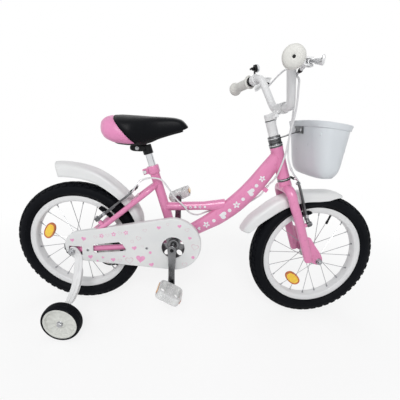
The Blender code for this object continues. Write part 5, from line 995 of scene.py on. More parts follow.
PITCH = 0.0127
RING_RADIUS = 28 * PITCH / (2.0 * math.pi)
COG_RADIUS = 16 * PITCH / (2.0 * math.pi)
loop_path = belt(REAR_AXLE, COG_RADIUS, CRANK, RING_RADIUS, 60)
loop_path = loop_path + loop_path[:1]
length = sum((q - p).length for p, q in zip(loop_path, loop_path[1:]))
links = 2 * round(length / PITCH / 2)
pins = spaced(loop_path, length / links)[:links]
parts = []
for k, pin in enumerate(pins):
    after = pins[(k + 1) % links]
    way = (after - pin).normalized()
    up_way = way.cross(Y)
    for side in (-1.0, 1.0):
        level = -Y * (0.042 + side * (0.003 if k % 2 else 0.0019))
        outline = []
        for centre, start in ((after, -90.0), (pin, 90.0)):
            for j in range(7):
                angle = math.radians(start + 30.0 * j)
                outline.append(centre + way * math.cos(angle) * 0.004 + up_way * math.sin(angle) * 0.004)
        outline.insert(7, pin.lerp(after, 0.5) + up_way * 0.0031)
        outline.append(pin.lerp(after, 0.5) - up_way * 0.0031)
        parts.append(prism([point + level - Y * 0.0004 for point in outline], Y * 0.0008))
    parts.append(rod(*span(pin, -Y, 0.0386, 0.0454), 0.0018, 8))
    parts.append(rod(*span(pin, -Y, 0.0402, 0.0438), 0.0032, 10))
piece("chain_links", parts, DARK, "frame", "chain")


def toothed(centre, pitch_radius, teeth, near, far, inner, offset=0.0):
    """A ring with rounded teeth, between two levels of the chain side."""
    outer, hole = [], []
    steps = teeth * 8
    for k in range(steps):
        phase = (k / 8.0 + offset) % 1.0
        reach = pitch_radius - 0.004 + 0.0058 * max(0.0, math.sin(math.pi * phase)) ** 0.8
        degrees = 360.0 * k / steps
        outer.append(around(centre, reach, degrees))
        hole.append(around(centre, inner, degrees))
    rings = [[p - Y * near for p in hole], [p - Y * far for p in hole], [p - Y * far for p in outer],
             [p - Y * near for p in outer]]
    return lofted(rings, loop=True)


piece("sprocket_teeth", [toothed(REAR_AXLE, COG_RADIUS, 16, 0.041, 0.043, 0.018),
                         revolved(REAR_AXLE, -Y, [(0.0178, 0.0386), (0.0178, 0.0454), (0.0222, 0.0454),
                                                  (0.0228, 0.0444), (0.0228, 0.0394), (0.0222, 0.0386)], 48,
                                  loop=True)], DARK, "sprocket", "rear_sprocket")

ring_mesh = mesh_of("ring", [toothed(CRANK, RING_RADIUS, 28, 0.041, 0.043, 0.009)])
holes = []
for k in range(5):
    degrees = 18.0 + 72.0 * k
    outline = []
    for j in range(24):
        t = 2.0 * math.pi * j / 24
        outline.append(around(CRANK, 0.0325, degrees) + turned_up(degrees) * 0.0108 * math.sin(t)
                       + turned_up(degrees + 90.0) * 0.0078 * math.cos(t) - Y * 0.06)
    holes.append(prism(outline, Y * 0.03))
ring_mesh = cut(ring_mesh, holes)
piece("chainring_plate", ring_mesh, CRANK_STEEL, "crankset", "chainring", smooth=30.0)
boss = [(0.0088, 0.0405), (0.0088, 0.049), (0.015, 0.049), (0.0176, 0.0478), (0.018, 0.0465), (0.018, 0.0425)]
piece("chainring_boss", [revolved(CRANK, -Y, boss, 48, loop=True)], CRANK_STEEL, "crankset", ())


def crank_arm(side, down):
    axle = CRANK + Z * down * CRANK_LENGTH
    rings = []
    for thick, inset in ((0.0, 0.0016), (0.001, 0.0004), (0.0024, 0.0), (0.0076, 0.0), (0.009, 0.0004),
                         (0.01, 0.0016)):
        ring = []
        first = 90.0 - 90.0 * down
        for centre, radius, start in ((CRANK, 0.0135, first + 180.0), (axle, 0.0105, first)):
            for k in range(17):
                ring.append(around(centre, radius - inset, start + 180.0 * k / 16))
        waist = ring[:17]
        ring = waist + [waist[-1].lerp(ring[17], t) + X * (0.0022 if waist[-1].x < CRANK.x else -0.0022) *
                        math.sin(math.pi * t) for t in (0.25, 0.5, 0.75)] + ring[17:]
        ring += [ring[-1].lerp(waist[0], t) + X * (0.0022 if waist[0].x < CRANK.x else -0.0022) *
                 math.sin(math.pi * t) for t in (0.25, 0.5, 0.75)]
        rings.append([p + Y * side * (0.0725 + thick) for p in ring])
    return lofted(rings)


parts = [(rod(*span(CRANK, Y, -0.0762, 0.0762), 0.0078), 0)]
for side, down in ((-1.0, -1.0), (1.0, 1.0)):
    axle = CRANK + Z * down * CRANK_LENGTH
    parts.append((crank_arm(side, down), 0))
    parts.append((rod(*span(CRANK, Y * side, 0.082, 0.0838), 0.0096, 32, 0.0006), 0))
    parts.append((nut(*span(CRANK, Y * side, 0.0834, 0.0852), 0.0062), 1))
    parts.append((rod(*span(axle, Y * side, 0.074, 0.092), 0.0085, 6, 0.0006), 1))
    parts.append((rod(*span(axle, Y * side, 0.09, 0.149), 0.0058), 1))
piece("crank_arms", parts, [CRANK_STEEL, BLACK], "crankset", "crank", smooth=34.0)


def pedal(name, axle, side, body, node, place=None):
    """A pale cage with two openings, rows of studs, reflectors at both long edges and a tube for the axle."""
    middle = axle + Y * side * PEDAL_SIDE
    rings = []
    for level, inset in ((-1.0, 0.003), (-0.92, 0.0012), (-0.75, 0.0002), (0.75, 0.0002), (0.92, 0.0012),
                         (1.0, 0.003)):
        rings.append(oval(middle + Z * 0.0136 * level, X * (0.0368 - inset), Y * (0.032 - inset), 56, 5.0))
    cuts = []
    for end in (-1.0, 1.0):
        centre = middle + X * end * 0.0214
        cuts.append(prism([p - Z * 0.03 for p in oval(centre, X * 0.0094, Y * 0.024, 32, 4.0)], Z * 0.06))
    cage = cut(mesh_of("cage", [lofted(rings)]), cuts)
    box = piece(name, cage, CLEAR, body, node, smooth=35.0, place=place)
    parts = []
    for end in (-1.0, 1.0):
        for level in (-1.0, 1.0):
            for k in range(7):
                centre = middle + X * end * (0.0335 if k % 2
                                             else 0.009) + Y * (k - 3) * 0.0084 + Z * level * 0.0139
                parts.append((rod(*span(centre, Z * level, -0.001, 0.0007), 0.0017, 8, 0.0003), 0))
        face = middle + X * end * 0.0368
        parts.append((prism([p - X * end * 0.0006 for p in oval(face, Y * 0.0205, Z * 0.0085, 24, 5.0)],
                            X * end * 0.0013), 1))
        parts.append((prism([p - X * end * 0.0006 for p in oval(face, Y * 0.0178, Z * 0.0062, 24, 5.0)],
                            X * end * 0.0017), 2))
    parts.append((collar(middle, Y, 0.0064, 0.0095, 0.0098, -0.0315, 0.0315, 0.0015, 32), 0))
    parts.append((rod(*span(middle, Y * side, 0.03, 0.0326), 0.0075, 24, 0.0008), 0))
    piece(name + "_fittings", parts, [CLEAR, AMBER, YELLOW], body, (), place=place)
    return box


def tipped(axle, degrees):
    return Matrix.Translation(axle) @ Matrix.Rotation(math.radians(degrees), 4, Y) @ Matrix.Translation(-axle)


for side, name, degrees in ((-1.0, "right", 26.0), (1.0, "left", -25.0)):
    axle = CRANK + Z * side * CRANK_LENGTH
    pedal(name + "_pedal_cage", axle, side, name + "_pedal", "pedal_" + name, tipped(axle, degrees))


# Seat

STATIONS = ((-0.1205, 0.063, 0.046, 0.028), (-0.1125, 0.075, 0.033, 0.052), (-0.095, 0.083, 0.022, 0.072),
            (-0.066, 0.086, 0.014, 0.08), (-0.034, 0.086, 0.0125, 0.077), (-0.006, 0.0855, 0.0135, 0.062),
            (0.016, 0.085, 0.019, 0.046), (0.04, 0.085, 0.03, 0.035), (0.074, 0.0845, 0.042, 0.027),
            (0.1, 0.08, 0.05, 0.023), (0.113, 0.07, 0.0545, 0.016), (0.1185, 0.063, 0.0575, 0.008))
SECTION = ((0.8, 0.0), (0.94, 0.13), (1.0, 0.33), (0.97, 0.57), (0.86, 0.79), (0.62, 0.93), (0.31, 0.99),
           (0.0, 1.0))
SEAM_TOP = POST_TOP + flat(-0.08, 0.083)
SEAM_FOOT = POST_TOP + flat(-0.02, 0.015)
SEAM_WAY = (SEAM_FOOT - SEAM_TOP).normalized()
SEAM_AHEAD = flat(-SEAM_WAY.z, SEAM_WAY.x)


def section_points():
    """The saddle's section, in shares of half width and height, from the right foot over the top."""
    right = [Vector((-a, b, 0.0)) for a, b in SECTION]
    left = [Vector((-p.x, p.y, 0.0)) for p in right[-2::-1]]
    over = smooth_curve(right + left, 0.055)
    under = [Vector((0.8 - 1.6 * k / 14, -0.012 * math.sin(math.pi * k / 14), 0.0)) for k in range(1, 14)]
    return [(p.x, p.y) for p in over + under]


def saddle_mesh():
    top_at = eased([(s[0], s[1]) for s in STATIONS])
    low_at = eased([(s[0], s[2]) for s in STATIONS])
    half_at = eased([(s[0], s[3]) for s in STATIONS])
    ring = section_points()
    rings = []
    first, final = STATIONS[0][0], STATIONS[-1][0]
    places = [(first - 0.0022, 0.35), (first - 0.0016, 0.7), (first - 0.0007, 0.9)]
    places += [(first + (final - first) * (0.5 - 0.5 * math.cos(math.pi * k / 64)), 1.0) for k in range(65)]
    places += [(final + 0.0006, 0.85), (final + 0.0012, 0.55)]
    for ahead, size in places:
        at = min(max(ahead, first), final)
        top, low, half = top_at(at), low_at(at), half_at(at)
        middle = (top + low) / 2.0
        points = []
        for a, b in ring:
            level = low + (top - low) * b
            points.append(POST_TOP + Vector((ahead, a * half * size, middle + (level - middle) * size)))
        rings.append(points)
    return mesh_of("saddle", [lofted(rings)])


def seat_part(name, material, node, keep, plump):
    """One side of the saddle at its seam, drawn in where it is sewn."""
    mesh = saddle_mesh()
    work = bmesh.new()
    work.from_mesh(mesh)
    bmesh.ops.bisect_plane(work, geom=work.verts[:] + work.edges[:] + work.faces[:], dist=1e-6,
                           plane_co=SEAM_TOP + SEAM_AHEAD * 0.0004 * keep, plane_no=SEAM_AHEAD * -keep,
                           clear_outer=True)
    centre = POST_TOP + flat(-0.045, 0.045)
    edge = []
    for vert in work.verts:
        gap = abs((vert.co - SEAM_TOP).dot(SEAM_AHEAD))
        if gap < 0.0006:
            edge.append(vert.co.copy())
        draw = math.exp(-((gap / 0.0045) ** 2)) * 0.0022 - math.exp(-(((gap - 0.014) / 0.01) ** 2)) * plump
        inward = Vector((centre.x - vert.co.x, -vert.co.y, centre.z - vert.co.z))
        inward -= SEAM_AHEAD * inward.dot(SEAM_AHEAD)
        if inward.length > 1e-6:
            vert.co += inward.normalized() * draw
    rim = [e for e in work.edges if len(e.link_faces) == 1]
    bmesh.ops.contextual_create(work, geom=rim)
    bmesh.ops.recalc_face_normals(work, faces=work.faces)
    fresh = bpy.data.meshes.new(name)
    work.to_mesh(fresh)
    work.free()
    made = piece(name, fresh, material, "seat", node, smooth=60.0)
    return edge


edge = seat_part("saddle_cover_skin", VINYL, "saddle_cover", 1.0, 0.0006)
seat_part("saddle_tail_skin", PINK_VINYL, "saddle_tail", -1.0, 0.0004)
centre = sum(edge, Vector()) / len(edge)
upward = SEAM_AHEAD.cross(Y).normalized()
edge.sort(key=lambda p: math.atan2((p - centre).dot(upward), (p - centre).dot(Y)))
cord = spaced(edge + edge[:1], 0.004)[:-1]
piece("saddle_piping", [tube([p + (centre - p).normalized() * 0.0011 for p in cord], 0.0012, 8,
                             loop=True)], VINYL, "seat", ())
low_at = eased([(s[0], s[2]) for s in STATIONS])
half_at = eased([(s[0], s[3]) for s in STATIONS])
rings = []
for k in range(36):
    ahead = -0.092 + (0.106 + 0.092) * k / 35
    round_end = math.sqrt(max(1.0 - (abs(k - 17.5) / 17.6) ** 6, 0.02))
    side = half_at(ahead) * 0.74 * round_end
    level = low_at(ahead) - 0.0001
    rings.append([POST_TOP + Vector((ahead, a * side, level - b * 0.0052)) for a, b in
                  ((-1.0, 0.0), (1.0, 0.0), (1.0, 0.4), (0.94, 0.9), (0.86, 1.0), (-0.86, 1.0), (-0.94, 0.9),
                   (-1.0, 0.4))])
piece("saddle_pan", [lofted(rings)], BLACK, "seat", "saddle_base", smooth=45.0)
clamp_centre = POST_TOP + flat(-0.0215, 0.0125 - 0.0056 - 0.01)
rings = [oval(clamp_centre + Y * side, X * 0.0225 * share, Z * 0.01 * share, 40, 3.0)
         for side, share in ((-0.021, 0.8), (-0.0203, 0.92), (-0.0185, 0.99), (-0.0165, 1.0), (0.0165, 1.0),
                             (0.0185, 0.99), (0.0203, 0.92), (0.021, 0.8))]
piece("saddle_clamp_body", [
    (lofted(rings), 0),
    (rod(*span(POST_TOP, SEAT_AXIS, -0.022, 0.0045), 0.0145, 40, 0.0012), 0),
    (nut(*span(clamp_centre, -Y, 0.0205, 0.0262), 0.0062), 1),
    (nut(*span(clamp_centre, Y, 0.0205, 0.0262), 0.0062), 1),
    (rod(*span(clamp_centre, Y, -0.028, 0.028), 0.0034, 20, 0.0005), 1)],
      [BLACK, STEEL], "seat", "saddle_clamp")
piece("seatpost_tube", [rod(SEAT_TOP - SEAT_AXIS * 0.105, POST_TOP - SEAT_AXIS * 0.0003, BAR, 48)],
      CHROME, "seat", "seatpost")


# Training wheels


def trainer(side, name):
    foot = 0.17
    top_side = 0.0688
    corners = [Vector((0.0035, side * top_side, 0.214)), Vector((0.0175, side * top_side, 0.176)),
               Vector((0.027, side * 0.118, 0.118)),
               Vector((0.019, side * (foot - 0.006), TRAINER.z + 0.022)),
               Vector((0.02, side * foot, TRAINER.z + 0.01)), Vector((0.02, side * foot, TRAINER.z - 0.012))]
    path = smooth_curve(corners, 0.004)
    thick = 0.002
    rings, flange = [], []
    last = len(path) - 1
    for k, point in enumerate(path):
        tangent = tangent_at(path, k)
        share = k / last
        if k < 3 or k > last - 6:
            tangent = -Z
        end = min(k, last - k) * 0.004 / 0.01
        width = 0.012 * (1.0 - 0.15 * min(max((share - 0.45) / 0.3, 0.0), 1.0))
        width *= math.sqrt(max(1.0 - (1.0 - min(end, 1.0)) ** 2, 0.0)) * 0.55 + 0.45
        normal = tangent.cross(X).normalized()
        if normal.y * side < 0:
            normal = -normal
        ring = []
        for a, b in ((1.0, 0.6), (0.95, 1.0), (0.3, 1.0), (0.16, 1.7), (-0.16, 1.7), (-0.3, 1.0),
                     (-0.95, 1.0), (-1.0, 0.6), (-1.0, -0.6), (-0.95, -1.0), (0.95, -1.0), (1.0, -0.6)):
            if abs(b) == 1.7:
                b = 1.0 + 0.7 * min(max((share - 0.1) / 0.06, 0.0),
                                    1.0) * min(max((0.86 - share) / 0.06, 0.0), 1.0)
            ring.append(point + X * a * width + normal * b * thick)
        rings.append(ring)
        if 0.3 < share < 0.8:
            fade = min(1.0, (share - 0.3) / 0.06, (0.8 - share) / 0.06)
            edge_at = point + X * (width - 0.0015)
            flange.append([edge_at + X * 0.0015 - normal * 0.001, edge_at - X * 0.001 - normal * 0.001,
                           edge_at - X * 0.001 - normal * (0.002 + 0.009 * fade),
                           edge_at + X * 0.0015 - normal * (0.002 + 0.009 * fade)])
    piece("training_arm_plate_" + name, [lofted(rings), lofted(flange)], WHITE, "frame",
          "training_arm_" + name, smooth=40.0)
    bolt_parts = [nut(*span(TRAINER, Y * side, 0.1607, 0.1677), 0.0075),
                  rod(*span(TRAINER, Y * side, 0.1607, 0.2115), 0.004),
                  revolved(TRAINER, Y * side,
                           [(0.0, 0.1723), (0.0085, 0.1723), (0.0085, 0.174), (0.0065, 0.176),
                            (0.0065, 0.1847), (0.0, 0.1847)], 32),
                  rod(*span(TRAINER, Y * side, 0.2093, 0.2103), 0.0085, 32, 0.0003),
                  nut(*span(TRAINER, Y * side, 0.2103, 0.216), 0.0075),
                  rod(*span(TRAINER, Y * side, 0.215, 0.2164), 0.004)]
    piece("training_bolt_" + name, bolt_parts, STEEL, "frame", "training_axle_" + name)
    body = name + "_training_wheel"
    centre = TRAINER + Y * side * TRAINER_SIDE
    half = [(0.0473, 0.0138), (0.0495, 0.014), (0.0512, 0.0138), (0.0527, 0.0124), (0.0539, 0.0096),
            (0.0543, 0.0074), (0.0536, 0.0066), (0.0536, 0.006), (0.0545, 0.0054), (0.0545, 0.001),
            (0.0539, 0.0004), (0.0539, 0.0)]
    profile = half + [(radius, -height) for radius, height in reversed(half[:-1])]
    piece("training_tyre_ring_" + name, [revolved(centre, Y * side, profile, 96, loop=True)], RUBBER, body,
          "training_tyre_" + name, smooth=30.0)
    points, rows = [], []
    home = axis_frame(centre, Y * side)
    steps = 144
    face = [(0.0044, 0.0098), (0.011, 0.01), (0.013, 0.0092), (0.015, 0.008), (0.018, 0.0076), (0.03, 0.008),
            (0.0385, 0.0088), (0.0398, 0.0092), (0.0408, 0.012), (0.0418, 0.013), (0.0464, 0.0132),
            (0.047, 0.0126)]
    back = [(0.047, -0.0126), (0.0464, -0.013), (0.0412, -0.0128), (0.0398, -0.0085), (0.015, -0.008),
            (0.013, -0.0136), (0.011, -0.014), (0.0044, -0.014)]
    for radius, height in face + back:
        ring = []
        for k in range(steps):
            angle = 2.0 * math.pi * k / steps
            fluted = 0.0
            if 0.016 < radius < 0.0395:
                wave = (k % 12) / 12.0
                fluted = 0.0016 * math.sin(math.pi * wave) * (1.0 if height > 0 else -1.0)
            ring.append(len(points))
            points.append(home @ Vector((radius * math.cos(angle), radius * math.sin(angle),
                                         height - fluted)))
        rows.append(ring)
    piece("training_disc_face_" + name, [(points, joined_rows(rows, True))], IVORY, body,
          "training_disc_" + name, smooth=25.0)


trainer(-1.0, "right")
trainer(1.0, "left")


# Steering

FENDER_SEAT = 117.3


def fender_seat(gap):
    return around(FRONT_AXLE, between(FRONT_RADII, FENDER_SEAT) + gap, FENDER_SEAT)


crown = -0.1325
points = []
for side in (-1.0, 1.0):
    blade = [on_steerer(-0.367, 0.0005, side * 0.051), on_steerer(-0.34, 0.0003, side * 0.0505),
             on_steerer(-0.3, 0.0, side * 0.05), on_steerer(-0.2318, -0.001, side * 0.05),
             on_steerer(-0.18, -0.004, side * 0.05)]
    arc = []
    for k in range(1, 13):
        angle = math.radians(7.5 * k)
        arc.append(on_steerer(crown - 0.025 * (1.0 - math.sin(angle)), -0.004,
                              side * (0.05 - 0.022 * (1.0 - math.cos(angle)))))
    points = blade + arc if side < 0.0 else points + (blade + arc)[::-1]
path = smooth_curve(points, 0.005)
last = len(path) - 1
depth_at = eased(((0.0, 0.0105), (0.006, 0.0125), (0.02, 0.0132), (0.35, 0.0136), (0.5, 0.016),
                  (0.65, 0.0136), (0.98, 0.0132), (0.994, 0.0125), (1.0, 0.0105)))
width_at = eased(((0.0, 0.0085), (0.006, 0.0105), (0.05, 0.0112), (0.15, 0.012), (0.85, 0.012),
                  (0.95, 0.0112), (0.994, 0.0105), (1.0, 0.0085)))
rings = []
for k, point in enumerate(path):
    tangent = tangent_at(path, k)
    side_way = STEER_FRONT.cross(tangent).normalized()
    front_way = tangent.cross(side_way)
    rings.append(oval(point, front_way * depth_at(k / last), side_way * width_at(k / last), 28))
fork_parts = [(lofted(rings), 0),
              (revolved(on_steerer(0.0), STEER_AXIS,
                        [(0.0, crown), (0.0127, crown), (0.0127, 0.031), (0.0114, 0.031), (0.0114, -0.01),
                         (0.0, -0.01)], 40), 1),
              (revolved(on_steerer(crown), STEER_AXIS,
                        [(0.0, 0.0), (0.0195, 0.0), (0.0192, 0.012), (0.0186, 0.0185), (0.018, 0.0222),
                         (0.0, 0.0222)], 48), 0),
              (rod(fender_seat(0.018), fender_seat(0.00075), 0.007, 32, 0.0006), 0)]
outline = [on_steerer(a, b) for a, b in ((-0.285, 0.0), (-0.287, 0.0195), (-0.325, 0.03), (-0.345, 0.0375),
                                         (-0.367, 0.042), (-0.383, 0.04), (-0.387, 0.03), (-0.383, 0.018),
                                         (-0.363, 0.0))]
for side in (-1.0, 1.0):
    fork_parts.append((plate(outline, side, 0.0505, 0.004, 0.008), 0))
    fork_parts += stud_parts(on_steerer(FRONT_BRAKE_ALONG, 0.0, side * STUD_SIDE), STEER_FRONT, FRONT_SETBACK)
piece("fork_blades", fork_parts, [PINK, STEEL], "steering", "fork", True)

nut_profile = [(0.013, 0.0043), (0.0165, 0.0043), (0.0178, 0.0052), (0.018, 0.0062), (0.018, 0.0115),
               (0.0172, 0.0122), (0.0145, 0.0122), (0.0145, 0.0158), (0.0172, 0.0158), (0.018, 0.0166),
               (0.018, 0.0225), (0.0168, 0.0242), (0.015, 0.0245), (0.013, 0.0245)]
piece("headset_locknut", [(revolved(on_steerer(0.0), STEER_AXIS, nut_profile, 48, loop=True), 0),
                          (revolved(on_steerer(0.017), STEER_AXIS,
                                    [(0.0165, 0.0), (0.0184, 0.0004), (0.0184, 0.0022), (0.0165, 0.0026)],
                                    48, loop=True), 1)], [DARK, CHROME], "steering", "headset_nut",
      True)

column = eased(((0.0315, 0.0135), (0.0525, 0.0135), (0.0685, 0.0155), (0.0785, 0.019), (0.0845, 0.0205),
                (0.0868, 0.0188)))
column_side = eased(((0.0315, 0.0135), (0.0525, 0.0135), (0.0685, 0.014), (0.0785, 0.0155), (0.0845, 0.0165),
                     (0.0868, 0.0155)))
column_ahead = eased(((0.0315, 0.0), (0.0525, 0.0), (0.0685, 0.002), (0.0785, 0.0055), (0.0845, 0.007),
                      (0.0868, 0.007)))


def column_ring(along, grow=0.0):
    return oval(on_steerer(along, column_ahead(along)), STEER_FRONT * (column(along) + grow),
                Y * (column_side(along) + grow), 48, 2.4)


middle = on_steerer(0.0905, 0.04)

neck_path = smooth_curve([on_steerer(0.0705, 0.006), on_steerer(0.081, 0.018),
                          middle - STEER_FRONT * 0.004], 0.003)
band = [column_ring(along, grow)
        for along, grow in ((0.0655, -0.001), (0.0657, 0.0008), (0.0669, 0.001), (0.0671, -0.001))]
# The gap rings are painted shade: a near-black slot drawn just over the column
gap = [column_ring(along, grow)
       for along, grow in ((0.0671, 0.0002), (0.0673, 0.0004), (0.0692, 0.0004), (0.0694, 0.0002))]
stem_parts = [(lofted([column_ring(0.025 + (0.0868 - 0.025) * k / 26) for k in range(27)]), 0),
              (swept(neck_path, (0.0165, 0.008), 40, Y, 3.0), 0),
              (collar(middle, Y, 0.0114, 0.0148, 0.0156, -0.0205, 0.0205, 0.0009, 48), 0),
              (lofted(band), 2), (lofted(gap), 1)]
for side in (-1.0, 1.0):
    stem_parts.append((nut(on_steerer(0.0765, 0.016, side * 0.02), on_steerer(0.0765, 0.016, side * 0.015),
                           0.005), 2))
piece("stem_body", stem_parts, [WHITE, HOLE, CHROME], "steering", "stem", True)


def grip_point(along, side):
    return mirrored(GRIP_BEND + GRIP_DIRECTION * along, side)


left = rounded([middle, middle + Y * 0.0615, GRIP_BEND, grip_point(0.149, 1.0)], 0.026, 14)
bar_path = spaced([mirrored(point, -1.0) for point in left[:0:-1]] + left, 0.005)
piece("handlebar_tube", [tube(bar_path, BAR, 32)], WHITE, "steering", "handlebar", True)

for side, name in ((-1.0, "right"), (1.0, "left")):
    axis = mirrored(GRIP_DIRECTION, side)
    outer = eased(((0.0, 0.0196), (0.002, 0.0212), (0.005, 0.0204), (0.011, 0.0168), (0.028, 0.0152),
                   (0.062, 0.0152), (0.074, 0.0178), (0.082, 0.0216), (0.086, 0.0221), (0.09, 0.0214),
                   (0.0935, 0.019), (0.0957, 0.015), (0.0965, 0.0105)))
    profile = [(0.0, 0.0)]
    for k in range(60):
        at = 0.0965 * k / 59
        rib = 0.0005 * (1.0 if int(at / 0.0016) % 2 else -0.4) if 0.024 < at < 0.068 else 0.0
        profile.append((outer(at) + rib, at))
    profile += [(0.004, 0.097), (0.0032, 0.0966), (0.0032, 0.094), (0.0, 0.094)]
    start = grip_point(0.054, side)
    # The bar's open end is a near-black disc of painted shade set into the shallow recess
    hole = rod(start + axis * 0.095, start + axis * 0.0963, 0.0031, 20)
    shell_mesh = [(revolved(start, axis, profile, 48), 0), (hole, 1)]
    piece("grip_sleeve_" + name, shell_mesh, [GRIP, HOLE], "steering", "grip_" + name, True,
          smooth=50.0)
    ring_start = grip_point(0.0225, side)
    ring_end = ring_start + axis * 0.016
    middle_ring = ring_start.lerp(ring_end, 0.5)
    pivot = mirrored(LEVER_PIVOT, side)
    arm_path = smooth_curve([middle_ring + X * 0.012 + Z * 0.002, middle_ring.lerp(pivot - X * 0.0165, 0.6),
                             pivot - X * 0.0165, pivot - X * 0.0105], 0.003)
    arm = swept(arm_path, (0.0085, 0.009), 28, Y, 3.2)
    cheek_parts = []
    for level in (-1.0, 1.0):
        rings = [oval(pivot - X * 0.002 + Z * level * h, X * (0.012 - i), Y * (0.009 - i), 32, 3.0)
                 for h, i in ((0.0055, 0.0), (0.0088, 0.0), (0.0098, 0.0012))]
        cheek_parts.append((lofted(rings), 0))
        cheek_parts.append((rod(*span(pivot, Z * level, 0.0092, 0.0106), 0.004, 24, 0.0004), 1))
    barrel_start, barrel_end = mirrored(BARREL_START, side), mirrored(BARREL_END, side)
    out = (barrel_end - barrel_start).normalized()
    parts = [(collar(ring_start, axis, 0.0114, 0.0155, 0.0166, 0.0, 0.016, 0.0012, 40), 0), (arm, 0),
             (block(pivot + Vector((-0.0056, -side * 0.0108, -0.0027)), X * 0.0066, Y * 0.006,
                    Z * 0.0056), 0), (rod(barrel_start, barrel_end - out * 0.009, 0.0042, 24, 0.0005), 0),
             (rod(*span(barrel_end, out, -0.009, -0.0035), 0.0055, 12, 0.0006), 2),
             (rod(barrel_end - out * 0.0035, barrel_end, 0.004, 24, 0.0004), 2)] + cheek_parts
    piece("lever_bracket_" + name, parts, [WHITE, STEEL, BLACK], "steering", "lever_mount_" + name,
          True)
    offsets = ((0.0, 0.0, 0.0), (0.001, 0.012, 0.0), (0.001, 0.026, -0.002), (-0.0045, 0.058, -0.0075),
               (-0.013, 0.09, -0.015))
    path = smooth_curve([mirrored(LEVER_PIVOT + Vector(offset), side) for offset in offsets], 0.0025)
    tall = eased(((0.0, 0.005), (0.26, 0.005), (0.45, 0.0085), (0.93, 0.0103), (0.98, 0.0086), (1.0, 0.0045)))
    thick = eased(((0.0, 0.0042), (0.93, 0.004), (0.98, 0.0034), (1.0, 0.002)))
    halves = [(tall(k / (len(path) - 1)), thick(k / (len(path) - 1))) for k in range(len(path))]
    blade = swept(path, halves, 24, Z, 2.8)
    eye = collar(pivot - Z * 0.005, Z, 0.0031, 0.007, 0.0078, 0.0, 0.01, 0.0008, 32)
    tip = revolved(path[-1], path[-1] - path[-2],
                   [(0.0, 0.0006), (0.003, 0.0002), (0.0036, -0.002), (0.002, -0.004), (0.0, -0.004)], 24)
    piece("lever_blade_" + name, [blade, eye, tip], ALLOY, name + "_lever", "brake_lever_" + name,
          True)

# Bell
start = grip_point(0.0462, 1.0)
end = start + GRIP_DIRECTION * 0.006
slant = (X * 0.62 + Z * 0.78).cross(GRIP_DIRECTION).normalized()
rise = GRIP_DIRECTION.cross(slant)
foot = start.lerp(end, 0.5)
knee = foot + rise * 0.0215
BELL_CENTRE = HEAD_TOP + Vector((-0.036, 0.134, 0.2235))
BELL_AXIS = flat(0.96, 0.28).normalized()
seat = BELL_CENTRE - BELL_AXIS * 0.004

post_path = smooth_curve([foot + rise * 0.0126, knee - rise * 0.004, knee + rise * 0.0015,
                          seat - BELL_AXIS * 0.001 + Vector((0.0, 0.005, -0.0075))], 0.002)
piece("bell_clamp", [collar(start, GRIP_DIRECTION, 0.0114, 0.0146, 0.0151, 0.0, 0.006, 0.0008, 40),
                     tube(post_path, 0.003, 16),
                     rod(*span(seat, BELL_AXIS, -0.005, 0.002), 0.011, 40, 0.0006),
                     rod(seat - BELL_AXIS * 0.014, seat, 0.0022)], BLACK, "steering", "bell_base",
      True)
dome = [(0.0, 0.0006), (0.0124, 0.0), (0.013, 0.0004), (0.013, 0.003)]
dome += [(0.013 * math.cos(t), 0.003 + 0.0074 * math.sin(t))
         for t in [math.radians(9.0 * k) for k in range(1, 10)]]
dome += [(0.0, 0.0105)]
piece("bell_shell", [revolved(seat + BELL_AXIS * 0.0023, BELL_AXIS, dome, 48),
                     rod(*span(seat, BELL_AXIS, 0.0123, 0.013), 0.0022, 16, 0.0003)], CHROME, "steering",
      "bell_dome", True)
hub_low, hub_high = seat - BELL_AXIS * 0.0108, seat - BELL_AXIS * 0.0053
thumb = hub_low.lerp(hub_high, 0.5) + Vector((-0.004, 0.0095, 0.002))
rings = [oval(thumb + Y * y, BELL_AXIS * 0.0022 * s, BELL_AXIS.cross(Y) * 0.0026 * s, 20, 3.0)
         for y, s in ((-0.01, 0.8), (-0.0085, 1.0), (0.006, 1.0), (0.008, 1.15), (0.0096, 1.0), (0.01, 0.7))]
piece("bell_thumb", [collar(hub_low, BELL_AXIS, 0.0026, 0.0048, 0.0052, 0.0, 0.0055, 0.0006, 32),
                     lofted(rings)], BLACK, "bell_striker", "bell_lever", True)


# Basket

RIM = HEAD_TOP + flat(0.1196, 0.0626)
FLOOR = HEAD_TOP + flat(0.1232, -0.0834)
SQUARE = 2.9


def basket_level(height):
    taper = max(height - 0.02, 0.0)
    half_x, half_y = 0.036 + 0.023 * taper, 0.1025 + 0.009 * taper
    ahead = turned_up(2.5).lerp(turned_up(-6.3), height).normalized()
    return FLOOR.lerp(RIM, height), ahead, half_x, half_y


bowl = eased(((0.0, 0.66), (0.006, 0.73), (0.025, 0.79), (0.07, 0.885), (0.13, 0.955), (0.2, 0.99),
              (0.26, 1.0)))
low_levels = (0.0, 0.003, 0.008, 0.016, 0.025, 0.04, 0.055, 0.07, 0.09, 0.11, 0.13, 0.16, 0.2, 0.23, 0.26)
outside = [(level, bowl(level), 0.0) for level in low_levels]
outside += [(0.4, 1.0, 0.0), (0.6, 1.0, 0.0), (0.8, 1.0, 0.0), (0.89, 1.0, 0.0), (0.894, 1.0, 0.0014),
            (0.9, 1.0, 0.0026), (0.94, 1.0, 0.0032), (0.98, 1.0, 0.004), (0.992, 1.0, 0.0038),
            (0.999, 1.0, 0.0026), (1.0, 1.0, 0.0006)]
inside = [(0.999, 1.0, -0.0014), (0.99, 1.0, -0.0026), (0.9, 1.0, -0.003), (0.6, 1.0, -0.003)]
inside += [(level, bowl(level), -0.003) for level in reversed(low_levels[4:])]
rings = []
for height, share, proud in outside + inside:
    centre, ahead, half_x, half_y = basket_level(height)
    wide = half_y * (1.0 - (1.0 - share) * 0.62) + proud
    rings.append(oval(centre, ahead * (half_x * share + proud), Y * wide, 96, SQUARE))
